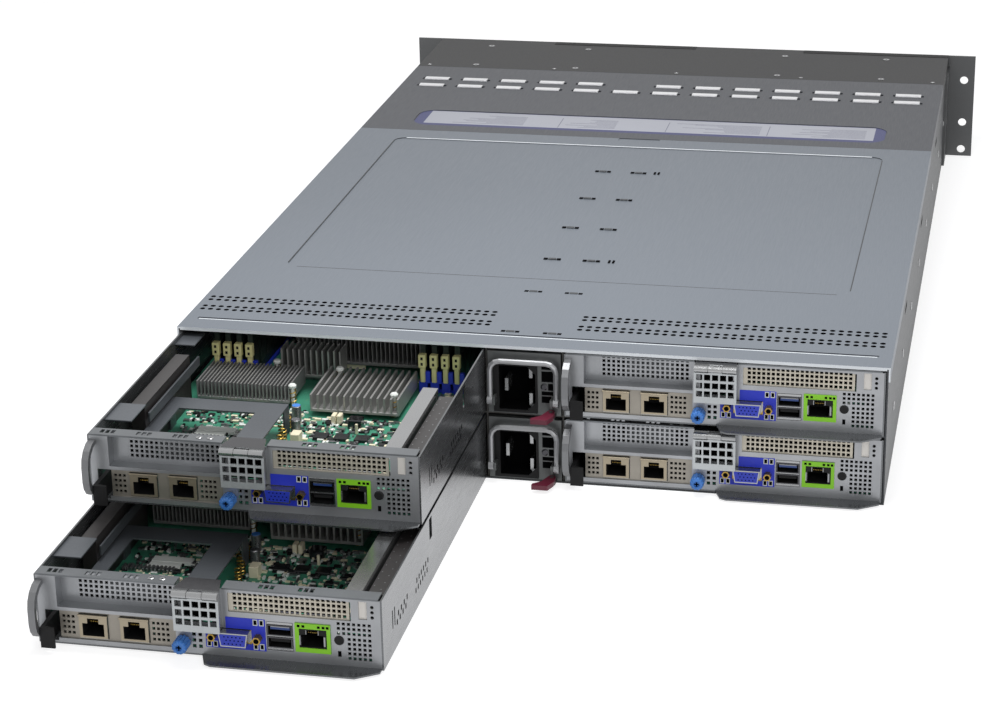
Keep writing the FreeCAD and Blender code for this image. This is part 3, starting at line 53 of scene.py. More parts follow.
MM = 0.001
MERGE = 1e-6
WHITE = (1.0, 1.0, 1.0, 1.0)
Colour = tuple[int, int, int]
Point2 = tuple[float, float]
Place = tuple[float, float, float]
Box = tuple[float, float, float, float, float, float]
Lift = Callable[[float, float, float], Place]
Mesh, Tree, Socket = bpy.types.Mesh, bpy.types.NodeTree, bpy.types.NodeSocket


class Axis(Enum):
    """The direction that a solid is turned round."""

    X = "x"
    Y = "y"
    Z = "z"


class Shape(Enum):
    """What a pattern repeats."""

    PRISM = "prism"
    BLOCK = "block"


class Facing(Enum):
    """How a prism is turned: along Y or Z, or as a square upright hole along Y."""

    ALONG_Y = (math.pi / 2, 0.0, 0.0)
    ALONG_Z = (0.0, 0.0, 0.0)
    SQUARE_Y = (math.pi / 2, math.pi / 4, 0.0)


# ---------------------------------------------------------------- shader and geometry nodes
def node(tree: Tree, kind: str, **inputs: object) -> bpy.types.Node:
    """A new node whose inputs have values or are fed by other nodes.

    Args:
        tree: the tree that it stands in.
        kind: its type.
        inputs: a value or another node's output for each input, whose name has _ in place of a space.

    Returns:
        The node.
    """
    made = tree.nodes.new(kind)
    for name, value in inputs.items():
        spot = made.inputs[name.replace("_", " ")]
        if isinstance(value, Socket):
            tree.links.new(value, spot)
        else:
            spot.default_value = value
    return made


def reckoned(tree: Tree, operation: str, *values: object) -> Socket:
    """The result of a math node.

    Args:
        tree: the tree that it stands in.
        operation: what it does.
        values: its two inputs, each a number or another node's output.

    Returns:
        Its output.
    """
    step = tree.nodes.new("ShaderNodeMath")
    step.operation = operation
    for spot, value in zip(step.inputs, values):
        if isinstance(value, Socket):
            tree.links.new(value, spot)
        else:
            spot.default_value = value
    return step.outputs["Value"]


def group(name: str, inputs: dict[str, str], output: str, kind: str) -> Tree:
    """An empty shader group with its sockets.

    Args:
        name: the group's name.
        inputs: each input's name and type.
        output: the output's name.
        kind: the output's type.

    Returns:
        The group.
    """
    tree = bpy.data.node_groups.new(name, "ShaderNodeTree")
    for title, sort in inputs.items():
        tree.interface.new_socket(title, in_out="INPUT", socket_type="NodeSocket" + sort)
    tree.interface.new_socket(output, in_out="OUTPUT", socket_type="NodeSocket" + kind)
    return tree


class Effect:
    """Shader node groups that more than one finish places in its own material."""

    built: dict[str, Tree] = {}

    @classmethod
    def grain(cls) -> Tree:
        """Fine surface grain, stretched along one direction for brushed metal.

        Returns:
            A group with inputs Scale and Stretch and the output Height, from 0 to 1.
        """
        if "grain" not in cls.built:
            tree = group("surface grain", {"Scale": "Float", "Stretch": "Vector"}, "Height", "Float")
            given = tree.nodes.new("NodeGroupInput").outputs
            coords = tree.nodes.new("ShaderNodeTexCoord")
            mapping = node(tree, "ShaderNodeMapping", Vector=coords.outputs["Object"], Scale=given["Stretch"])
            noise = node(tree, "ShaderNodeTexNoise", Vector=mapping.outputs["Vector"], Scale=given["Scale"], Detail=3.0)
            node(tree, "NodeGroupOutput", Height=noise.outputs["Fac"])
            cls.built["grain"] = tree
        return cls.built["grain"]

    @classmethod
    def tone(cls) -> Tree:
        """Slow drift of a colour between a darker and a lighter shade, as handled sheet metal shows.

        Returns:
            A group with inputs Colour, Drift and Scale and the output Colour.
        """
        if "tone" not in cls.built:
            tree = group("tone drift", {"Colour": "Color", "Drift": "Float", "Scale": "Float"}, "Colour", "Color")
            given = tree.nodes.new("NodeGroupInput").outputs
            coords = tree.nodes.new("ShaderNodeTexCoord")
            noise = node(tree, "ShaderNodeTexNoise", Vector=coords.outputs["Object"], Scale=given["Scale"], Detail=2.0)
            spread = node(tree, "ShaderNodeMapRange", Value=noise.outputs["Fac"], From_Min=0.3, From_Max=0.7,
                          To_Min=reckoned(tree, "SUBTRACT", 1.0, given["Drift"]),
                          To_Max=reckoned(tree, "ADD", 1.0, given["Drift"]))
            shade = node(tree, "ShaderNodeHueSaturation", Value=spread.outputs["Result"], Color=given["Colour"])
            node(tree, "NodeGroupOutput", Colour=shade.outputs["Color"])
            cls.built["tone"] = tree
        return cls.built["tone"]


# ---------------------------------------------------------------- finishes
def linear(colour: Sequence[float]) -> tuple[float, float, float, float]:
    """A display colour, each part from 0 to 255, as scene light.

    Args:
        colour: red, green and blue as they look on a display.

    Returns:
        The linear colour with an alpha of 1.
    """
    parts = [value / 255 for value in colour]
    scene = [p / 12.92 if p <= 0.04045 else ((p + 0.055) / 1.055) ** 2.4 for p in parts]
    return (scene[0], scene[1], scene[2], 1.0)


class Grain(Enum):
    """The direction that a finish's grain runs in."""

    EVEN = (1.0, 1.0, 1.0)
    ALONG_X = (0.04, 1.0, 1.0)
    ALONG_Y = (1.0, 0.04, 1.0)


@dataclass(frozen=True)
class Finish:
    """A finish of one colour with its own drift of tone, grain and gloss."""

    name: str
    colour: Colour
    metallic: float = 0.0
    roughness: float = 0.5
    drift: float = 0.05
    drift_scale: float = 9.0
    grain_scale: float = 900.0
    grain_depth: float = 0.00002
    grain: Grain = Grain.EVEN
    uneven: float = 0.1
    glow: float = 0.0
    shine: float = 0.5

    def material(self) -> bpy.types.Material:
        """The finish as a material, built once.

        Returns:
            The node material that carries this finish's name.
        """
        known = bpy.data.materials.get(self.name)
        if known:
            return known
        material = bpy.data.materials.new(self.name)
        material.use_nodes = True
        tree = material.node_tree
        shader = tree.nodes["Principled BSDF"]
        shader.inputs["Metallic"].default_value = self.metallic
        shader.inputs["Specular IOR Level"].default_value = self.shine
        if self.glow:
            shader.inputs["Emission Strength"].default_value = self.glow
            shader.inputs["Emission Color"].default_value = linear(self.colour)
        tone = tree.nodes.new("ShaderNodeGroup")
        tone.node_tree = Effect.tone()
        tone.inputs["Colour"].default_value = linear(self.colour)
        tone.inputs["Drift"].default_value = self.drift
        tone.inputs["Scale"].default_value = self.drift_scale
        grain = tree.nodes.new("ShaderNodeGroup")
        grain.node_tree = Effect.grain()
        grain.inputs["Scale"].default_value = self.grain_scale
        grain.inputs["Stretch"].default_value = self.grain.value
        height = grain.outputs["Height"]
        gloss = node(tree, "ShaderNodeMapRange", Value=height, To_Min=max(self.roughness - self.uneven, 0.02),
                     To_Max=min(self.roughness + self.uneven, 1.0))
        bump = node(tree, "ShaderNodeBump", Height=height, Distance=self.grain_depth)
        for name, output in (("Base Color", self.patterned(tree, tone.outputs["Colour"])),
                             ("Roughness", gloss.outputs["Result"]), ("Normal", bump.outputs["Normal"])):
            tree.links.new(output, shader.inputs[name])
        return material

    def patterned(self, tree: Tree, colour: Socket) -> Socket:
        """Where a finish has a pattern, this lays it over the plain colour."""
        return colour


@dataclass(frozen=True)
class BoardFinish(Finish):
    """Solder mask over copper: a green board with a faint maze of tracks and small pads."""

    track: Colour = (96, 150, 112)
    pitch: float = 260.0

    def patterned(self, tree: Tree, colour: Socket) -> Socket:
        """Tracks and pads over the solder mask.

        Args:
            tree: the material's node tree.
            colour: the plain mask colour.

        Returns:
            The mask colour with its tracks.
        """
        coords = tree.nodes.new("ShaderNodeTexCoord").outputs["Object"]
        cells = node(tree, "ShaderNodeTexVoronoi", Vector=coords, Scale=self.pitch)
        cells.distance = "CHEBYCHEV"
        cells.feature = "F1"
        patches = node(tree, "ShaderNodeTexNoise", Vector=coords, Scale=self.pitch / 4)
        edge = reckoned(tree, "LESS_THAN", cells.outputs["Distance"], 0.13)
        rich = reckoned(tree, "GREATER_THAN", patches.outputs["Fac"], 0.5)
        mix = tree.nodes.new("ShaderNodeMix")
        mix.data_type = "RGBA"
        mix.inputs["B"].default_value = linear(self.track)
        tree.links.new(reckoned(tree, "MULTIPLY", edge, rich), mix.inputs["Factor"])
        tree.links.new(colour, mix.inputs["A"])
        return mix.outputs["Result"]


Chooser = Callable[[Vector, Vector], Finish]

COVER = Finish("cover satin steel", (116, 122, 130), 0.45, 0.42, 0.04, 3.0, 1500, 0.00001, Grain.ALONG_Y, shine=0.1)
# Fan cover: the cover's satin steel painted darker, as painted shade for the dimmer reflection towards the front of the
# top.
SHADED_FAN_COVER = Finish("fan cover steel in painted shade", (79, 81, 86), 0.45, 0.42, 0.04, 3.0, 1500, 0.00001, Grain.ALONG_Y,
                   shine=0.1)
FRONT_PLATE = Finish("front plate painted steel", (60, 60, 61), 0.5, 0.5, 0.05, 4.0, 1800, 0.00002, shine=0.1)
# Lanced straps' top faces: the fan cover's steel painted near white, a painted highlight.
STRAP_HIGHLIGHT = Finish("lanced strap painted highlight", (228, 228, 230), 0.15, 0.4, 0.03, 30.0)
# Painted highlight for the rear hem and for the bright lines along the pressed panel and bead.
PAINTED_HIGHLIGHT_EDGE = Finish("painted highlight edge", (230, 235, 240), 0.1, 0.35, 0.03, 30.0)
EAR = Finish("rack ear steel", (96, 97, 98), 0.7, 0.45, 0.05, 5.0, 1500, 0.00001, Grain.ALONG_X, shine=0.1)
CHASSIS = Finish("chassis steel", (68, 70, 72), 0.8, 0.45, 0.05, 5.0, 1500, 0.00001, Grain.ALONG_Y, shine=0.1)
INNER_WALL = Finish("inner wall steel", (67, 66, 64), 0.6, 0.55, 0.08, 8.0)
PANEL = Finish("galvanised panel", (151, 153, 156), 0.75, 0.36, 0.1, 45.0, 1100, 0.00001)
FLANGE = Finish("panel flange steel", (105, 108, 111), 0.75, 0.42, 0.1, 45.0, 1100, 0.00001)
LOOP = Finish("pull loop steel", (118, 119, 121), 0.75, 0.42, 0.06, 30.0)
TRAY = Finish("galvanised tray", (106, 108, 110), 0.8, 0.25, 0.06, 12.0, 1100, 0.000001, Grain.ALONG_Y, shine=0.1)
NICKEL = Finish("warm nickel plate", (145, 140, 131), 0.6, 0.42, 0.1, 60.0, 1200, 0.00001, Grain.ALONG_X)
GRID = Finish("beige riser grid", (186, 180, 166), 0.45, 0.4, 0.08, 60.0, 1200, 0.00001, Grain.ALONG_X)
SHIELD = Finish("warm jack shield", (153, 143, 124), 0.75, 0.36, 0.04, 30.0)
BRIGHT = Finish("bright steel", (152, 153, 154), 0.9, 0.22, 0.03, 30.0)
DARK_CHROME = Finish("dark chrome", (66, 66, 69), 0.9, 0.2, 0.04, 30.0)
WIRE = Finish("bail wire", (152, 153, 155), 0.6, 0.36, 0.02, 12.0, shine=0.1)
BRIDGE = Finish("bridge frame steel", (87, 91, 96), 0.6, 0.42, 0.08, 25.0)
FLAP = Finish("flap steel", (174, 178, 180), 0.6, 0.4, 0.06, 40.0)
PILL = Finish("pale slot plate", (228, 224, 218), 0.1, 0.4, 0.04, 30.0)
RAIL = Finish("riser socket moulding", (33, 30, 30), 0.0, 0.42, 0.12, 30.0, 2200, 0.00002)
BLACK = Finish("black moulding", (15, 15, 16), 0.0, 0.6, 0.1, 20.0, 2200, 0.00003, shine=0.25)
BLACK_GLOSS = Finish("black chip", (26, 27, 29), 0.0, 0.3, 0.1, 60.0, 2600, 0.00001)
# Near black for holes, slots and recesses: painted shade where the part shows only shadow.
PAINTED_SHADE = Finish("painted shade in holes", (7, 7, 8), 0.0, 0.9, 0.1, 20.0, shine=0.03)
BOARD = BoardFinish("green board", (66, 140, 114), 0.1, 0.35, 0.1, 60.0)
# Memory modules: dark green board, drawn darker still as painted shade for the modules standing in shadow.
SHADED_MEMORY = Finish("memory module board in painted shade", (24, 36, 30), 0.0, 0.45, 0.1, 60.0)
FINS = Finish("fin aluminium", (142, 142, 142), 0.6, 0.42, 0.05, 60.0, 1400, 0.00001, Grain.ALONG_Y)
# A lighter copy of the fin aluminium: painted highlight for sinks and fin tops that catch the light.
FIN_HIGHLIGHT = Finish("fin aluminium painted highlight", (161, 161, 159), 0.5, 0.38, 0.05, 60.0)
CASE = Finish("supply case steel", (96, 98, 98), 0.7, 0.4, 0.08, 30.0, shine=0.1)
BLUE_PAINT = Finish("blue port paint", (34, 52, 196), 0.0, 0.45, 0.06, 60.0)
BLUE_PORT = Finish("blue port moulding", (38, 58, 190), 0.0, 0.4, 0.05, 60.0)
PORT_TONGUE = Finish("port tongue", (36, 66, 130), 0.0, 0.4, 0.05, 60.0)
BLUE_KNOB = Finish("blue screw head", (66, 126, 204), 0.0, 0.42, 0.06, 80.0)
LIME = Finish("lime jack frame", (140, 214, 36), 0.0, 0.4, 0.05, 60.0)
BURGUNDY = Finish("burgundy latch", (96, 26, 46), 0.0, 0.42, 0.06, 60.0)
CREAM = Finish("cream moulding", (226, 218, 190), 0.0, 0.45, 0.05, 60.0)
LATCH_YELLOW = Finish("pale yellow latch", (214, 208, 150), 0.0, 0.45, 0.05, 60.0)
BRASS = Finish("brass contact", (157, 130, 66), 0.9, 0.3, 0.05, 60.0)
SOLDER = Finish("tinned metal", (143, 144, 146), 0.85, 0.3, 0.05, 60.0)
WHITE_PRINT = Finish("white board print", (222, 226, 222), 0.0, 0.6, 0.04, 60.0)
NAVY = Finish("navy label border", (34, 40, 92), 0.0, 0.45, 0.04, 20.0)
LABEL = Finish("pale label", (166, 168, 177), 0.0, 0.4, 0.03, 12.0, shine=0.1)
LABEL_LINE = Finish("label line work", (96, 98, 116), 0.0, 0.45, 0.05, 40.0)
LED = Finish("status light", (96, 190, 120), 0.0, 0.3, 0.02, 60.0, glow=0.15)


# ---------------------------------------------------------------- mesh work
def mesh_of(build: bmesh.types.BMesh, name: str, *finishes: Finish) -> Mesh:
    """The finished mesh of a bmesh.

    Args:
        build: the work so far, in metres, which is freed.
        name: name of the mesh.
        finishes: the finish of all its faces, where there is one.

    Returns:
        The mesh, in metres.
    """
    mesh = bpy.data.meshes.new(name)
    build.to_mesh(mesh)
    build.free()
    for finish in finishes:
        mesh.materials.append(finish.material())
    return mesh


def boxes(finish: Finish, places: Iterable[Box], bevel: float = 0.0) -> Mesh:
    """Boxes from their corners, with their edges taken off.

    Args:
        finish: what they are made of.
        places: low and high x, y and z of each box, in millimetres.
        bevel: width of the bevel on every edge, in millimetres.

    Returns:
        One mesh in metres.
    """
    build = bmesh.new()
    for x0, x1, y0, y1, z0, z1 in places:
        size = Vector((abs(x1 - x0), abs(y1 - y0), abs(z1 - z0)))
        middle = Vector(((x0 + x1) / 2, (y0 + y1) / 2, (z0 + z1) / 2))
        matrix = Matrix.Translation(middle * MM) @ Matrix.Diagonal((*(size * MM), 1.0))
        bmesh.ops.create_cube(build, size=1.0, matrix=matrix)
    if bevel:
        bmesh.ops.bevel(build, geom=list(build.edges), offset=bevel * MM, segments=1, affect="EDGES",
                        profile=0.5, clamp_overlap=True)
    return mesh_of(build, finish.name, finish)


def rectangle(a0: float, a1: float, b0: float, b1: float) -> list[Point2]:
    """The corners of a rectangle from its low and high sides."""
    return [(a0, b0), (a1, b0), (a1, b1), (a0, b1)]


def plate(finish: Finish, outline: Sequence[Point2], holes: Sequence[Sequence[Point2]], lift: Lift,
          depth: float) -> Mesh:
    """A flat plate with holes.

    Args:
        finish: what it is made of.
        outline: the outer loop in the plate's own two directions, in millimetres.
        holes: the inner loops.
        lift: turns the two directions and a height into a place, in millimetres.
        depth: the plate's thickness.

    Returns:
        A closed mesh in metres.
    """
    loops = [list(outline)] + [list(hole) for hole in holes]
    flat = [point for loop in loops for point in loop]
    triangles = tessellate_polygon([[Vector((a, b, 0)) for a, b in loop] for loop in loops])
    build = bmesh.new()
    low, high = ([build.verts.new(Vector(lift(a, b, height)) * MM) for a, b in flat] for height in (0.0, depth))
    for a, b, c in triangles:
        build.faces.new((high[a], high[b], high[c]))
        build.faces.new((low[c], low[b], low[a]))
    start = 0
    for loop in loops:
        count = len(loop)
        for index in range(count):
            near, far = start + index, start + (index + 1) % count
            build.faces.new((low[near], low[far], high[far], high[near]))
        start += count
    bmesh.ops.recalc_face_normals(build, faces=list(build.faces))
    return mesh_of(build, finish.name, finish)


def lofted(build: bmesh.types.BMesh, rings: Sequence[Sequence[bmesh.types.BMVert]], finish: Finish) -> Mesh:
    """A closed skin over a row of rings.

    Args:
        build: the bmesh that holds the rings' vertices.
        rings: rings with equally many vertices, from one end to the other.
        finish: what it is made of.

    Returns:
        A closed mesh in metres.
    """
    for low, high in zip(rings, rings[1:]):
        for index in range(len(low)):
            after = (index + 1) % len(low)
            build.faces.new((low[index], low[after], high[after], high[index]))
    build.faces.new(rings[0])
    build.faces.new(rings[-1])
    bmesh.ops.recalc_face_normals(build, faces=list(build.faces))
    return mesh_of(build, finish.name, finish)


def turned(finish: Finish, profile: Sequence[Point2], centre: Place, axis: Axis, sides: int = 16,
           flutes: int = 0, flute_depth: float = 0.0) -> Mesh:
    """A turned solid, such as a screw head, with flutes where it is knurled.

    Args:
        finish: what it is made of.
        profile: distance along the axis and radius, from one end to the other, in millimetres.
        centre: where the profile's zero lies.
        axis: the direction that it is turned round.
        sides: facets round the axis.
        flutes: how many facets in a row share one flute, or none.
        flute_depth: how deep a flute is, in millimetres.

    Returns:
        A closed mesh in metres.
    """
    build = bmesh.new()
    rings = []
    for along, radius in profile:
        ring = []
        for index in range(sides):
            angle = 2 * math.pi * index / sides
            sunk = flute_depth if flutes and radius > flute_depth * 3 and index % flutes == 0 else 0.0
            a, b = (radius - sunk) * math.cos(angle), (radius - sunk) * math.sin(angle)
            spot = {Axis.X: (along, a, b), Axis.Y: (a, along, b), Axis.Z: (a, b, along)}[axis]
            ring.append(build.verts.new((Vector(spot) + Vector(centre)) * MM))
        rings.append(ring)
    return lofted(build, rings, finish)


def tube(finish: Finish, route: Sequence[Place], radius: float, sides: int = 6) -> Mesh:
    """A round wire along a route.

    Args:
        finish: what it is made of.
        route: places along its middle line, in millimetres.
        radius: its radius in millimetres.
        sides: facets round it.

    Returns:
        A closed mesh in metres.
    """
    points = [Vector(place) * MM for place in route]
    build = bmesh.new()
    rings = []
    side = None
    for index, point in enumerate(points):
        before, after = points[max(index - 1, 0)], points[min(index + 1, len(points) - 1)]
        ahead = (after - before).normalized()
        if side is None:
            side = ahead.orthogonal().normalized()
        side = (side - ahead * side.dot(ahead)).normalized()
        up = ahead.cross(side)
        rings.append([build.verts.new(point + (side * math.cos(angle) + up * math.sin(angle)) * radius * MM)
                      for angle in (2 * math.pi * turn / sides for turn in range(sides))])
    return lofted(build, rings, finish)


def screw_head(spot: Place, radius: float) -> list[Mesh]:
    """A low screw head, and its recess as a dark disc of painted shade, on the middle of its seat."""
    profile = ((0.0, radius), (0.25, radius), (0.45, radius * 0.75), (0.45, radius * 0.45), (0.1, radius * 0.3))
    return [turned(BRIGHT, profile, spot, Axis.Z),
            turned(PAINTED_SHADE, ((0.1, radius * 0.4), (0.2, radius * 0.4)), spot, Axis.Z, 6)]


def joined(name: str, meshes: Sequence[Mesh]) -> Mesh:
    """Several meshes as one, keeping each one's materials.

    Args:
        name: name of the new mesh.
        meshes: what is joined; the originals are removed.

    Returns:
        The joined mesh.
    """
    build = bmesh.new()
    numbers: dict[bpy.types.Material, int] = {}
    for mesh in meshes:
        own = [numbers.setdefault(material, len(numbers)) for material in mesh.materials]
        first = len(build.faces)
        build.from_mesh(mesh)
        build.faces.ensure_lookup_table()
        for face in build.faces[first:]:
            face.material_index = own[face.material_index]
    result = mesh_of(build, name)
    for material in numbers:
        result.materials.append(material)
    for mesh in meshes:
        bpy.data.meshes.remove(mesh)
    return result


def place(name: str, mesh: Mesh, body: str, slot: str, offset: Vector = Vector((0, 0, 0)),
          stands_for: Sequence[str] = ()) -> None:
    """Puts a mesh in the scene as a piece that rides on a body.

    Args:
        name: name of the piece.
        mesh: its mesh, which is copied.
        body: the body that it rides on.
        slot: the record's material slot; not used.
        offset: how far the mesh is moved, in metres.
        stands_for: CAD nodes that the piece replaces.
    """
    own = mesh.copy()
    own.name = name
    own.transform(Matrix.Translation(offset))
    piece = bpy.data.objects.new(name, own)
    bpy.context.scene.collection.objects.link(piece)
    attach(piece, body)
    if stands_for:
        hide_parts(*stands_for)
    log.info("%s: %d faces on %s", name, len(own.polygons), body)


def finish_faces(mesh: Mesh, finishes: Sequence[Finish], choose: Chooser) -> None:
    """Gives each face of a mesh one of several finishes.

    Args:
        mesh: the mesh, whose vertices stay as they are.
        finishes: what there is to choose from.
        choose: takes a face's middle and normal and gives its finish.
    """
    numbers = {finish: index for index, finish in enumerate(finishes)}
    mesh.materials.clear()
    for finish in finishes:
        mesh.materials.append(finish.material())
    for face in mesh.polygons:
        face.material_index = numbers[choose(face.center, face.normal)]


def coat(node: str, finish: Finish) -> None:
    """Gives all faces of a CAD node one finish."""
    finish_faces(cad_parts[node].data, (finish,), lambda c, n: finish)


def solid_copy(node: str, offset: Vector = Vector((0, 0, 0))) -> Mesh:
    """A CAD node's mesh, merged into closed shells and moved.

    Args:
        node: name of the CAD node.
        offset: how far it is moved, in metres.

    Returns:
        A new mesh.
    """
    build = bmesh.new()
    build.from_mesh(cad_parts[node].data)
    bmesh.ops.remove_doubles(build, verts=list(build.verts), dist=MERGE)
    bmesh.ops.translate(build, verts=list(build.verts), vec=offset)
    return mesh_of(build, node + "_copy")


def cut(mesh: Mesh, cutters: Mesh) -> Mesh:
    """A mesh with the cutters' space taken out of it.

    Args:
        mesh: the closed shells that are cut.
        cutters: the closed shells that cut.

    Returns:
        The cut mesh; both inputs are removed.
    """
    target = bpy.data.objects.new("target", mesh)
    tool = bpy.data.objects.new("tool", cutters)
    for item in (target, tool):
        bpy.context.scene.collection.objects.link(item)
    step = target.modifiers.new("cut", "BOOLEAN")
    step.operation = "DIFFERENCE"
    step.solver = "EXACT"
    step.use_self = True
    step.object = tool
    bpy.context.view_layer.update()
    result = bpy.data.meshes.new_from_object(target.evaluated_get(bpy.context.evaluated_depsgraph_get()))
    for item in (target, tool):
        bpy.data.objects.remove(item)
    for used in (mesh, cutters):
        bpy.data.meshes.remove(used)
    return result


# ---------------------------------------------------------------- what repeats
class Pattern:
    """Geometry Nodes trees for holes, fins, pins and lamps that repeat in rows and columns."""

    trees: dict[Shape, Tree] = {}
    sockets = (("First", "NodeSocketVector"), ("Across", "NodeSocketVector"), ("Up", "NodeSocketVector"),
               ("Columns", "NodeSocketInt"), ("Rows", "NodeSocketInt"), ("Size", "NodeSocketVector"),
               ("Sides", "NodeSocketInt"), ("Turn", "NodeSocketVector"), ("Finish", "NodeSocketMaterial"))

    @classmethod
    def tree(cls, shape: Shape) -> Tree:
        """The tree that repeats one shape.

        Args:
            shape: a many-sided prism or a block.

        Returns:
            A tree with the inputs First, Across, Up, Columns, Rows, Size, Sides, Turn and Finish.
        """
        if shape in cls.trees:
            return cls.trees[shape]
        tree = bpy.data.node_groups.new("rows of a " + shape.value, "GeometryNodeTree")
        for name, kind in cls.sockets:
            tree.interface.new_socket(name, in_out="INPUT", socket_type=kind)
        tree.interface.new_socket("Geometry", in_out="OUTPUT", socket_type="NodeSocketGeometry")
        given = tree.nodes.new("NodeGroupInput").outputs
        columns = node(tree, "GeometryNodeMeshLine", Count=given["Columns"], Start_Location=given["First"],
                       Offset=given["Across"])
        rows = node(tree, "GeometryNodeMeshLine", Count=given["Rows"], Offset=given["Up"])
        field = node(tree, "GeometryNodeInstanceOnPoints", Points=columns.outputs["Mesh"],
                     Instance=rows.outputs["Mesh"])
        spread = node(tree, "GeometryNodeRealizeInstances", Geometry=field.outputs["Instances"])
        if shape is Shape.PRISM:
            size = node(tree, "ShaderNodeSeparateXYZ", Vector=given["Size"]).outputs
            one = node(tree, "GeometryNodeMeshCylinder", Vertices=given["Sides"], Radius=size["X"], Depth=size["Z"])
        else:
            one = node(tree, "GeometryNodeMeshCube", Size=given["Size"])
        repeat = node(tree, "GeometryNodeInstanceOnPoints", Points=spread.outputs["Geometry"],
                      Instance=one.outputs["Mesh"], Rotation=given["Turn"])
        real = node(tree, "GeometryNodeRealizeInstances", Geometry=repeat.outputs["Instances"])
        material = node(tree, "GeometryNodeSetMaterial", Geometry=real.outputs["Geometry"], Material=given["Finish"])
        node(tree, "NodeGroupOutput", Geometry=material.outputs["Geometry"])
        cls.trees[shape] = tree
        return tree

    @classmethod
    def grow(cls, shape: Shape, finish: Finish, first: Place, across: Place, up: Place, columns: int, rows: int,
             size: Place, sides: int = 12, turn: Place = Facing.ALONG_Z.value) -> Mesh:
        """Rows and columns of one shape as a plain mesh.

        Args:
            shape: a prism or a block.
            finish: what the shapes are made of.
            first: the first shape's middle, in millimetres.
            across: step to the next column.
            up: step to the next row.
            columns: number of columns.
            rows: number of rows.
            size: a block's size, or a prism's radius and, as its last number, length.
            sides: facets of a prism.
            turn: the shape's rotation about X, Y and Z, in radians.

        Returns:
            The realized mesh in metres.
        """
        tree = cls.tree(shape)
        values = {"First": Vector(first) * MM, "Across": Vector(across) * MM, "Up": Vector(up) * MM,
                  "Columns": columns, "Rows": rows, "Size": Vector(size) * MM, "Sides": sides,
                  "Turn": Vector(turn), "Finish": finish.material()}
        holder = bpy.data.objects.new("grower", bpy.data.meshes.new("seed"))
        bpy.context.scene.collection.objects.link(holder)
        modifier = holder.modifiers.new("pattern", "NODES")
        modifier.node_group = tree
        for item in tree.interface.items_tree:
            if item.in_out == "INPUT":
                value = values[item.name]
                modifier[item.identifier] = tuple(value) if isinstance(value, Vector) else value
        bpy.context.view_layer.update()
        mesh = bpy.data.meshes.new_from_object(holder.evaluated_get(bpy.context.evaluated_depsgraph_get()))
        seed = holder.data
        holder.modifiers.remove(modifier)
        bpy.data.objects.remove(holder)
        bpy.data.meshes.remove(seed)
        return mesh


@dataclass(frozen=True)
class Holes:
    """A field of holes in one flat plate, between its first and last hole."""

    first: Place
    last: Place
    columns: int
    rows: int
    radius: float
    sides: int = 10
    facing: Facing = Facing.ALONG_Y
    depth: float = 3.0
    finish: Finish = PANEL

    def mesh(self) -> Mesh:
        """The prisms that cut the holes.

        Returns:
            A mesh in metres, in the finish of the holes' walls.
        """
        a, b = Vector(self.first), Vector(self.last)
        across = Vector(((b.x - a.x) / max(self.columns - 1, 1), 0, 0))
        rise = Vector((0, b.y - a.y, b.z - a.z)) / max(self.rows - 1, 1)
        return Pattern.grow(Shape.PRISM, self.finish, self.first, tuple(across), tuple(rise), self.columns,
                            self.rows, (self.radius, 0, self.depth), self.sides, self.facing.value)


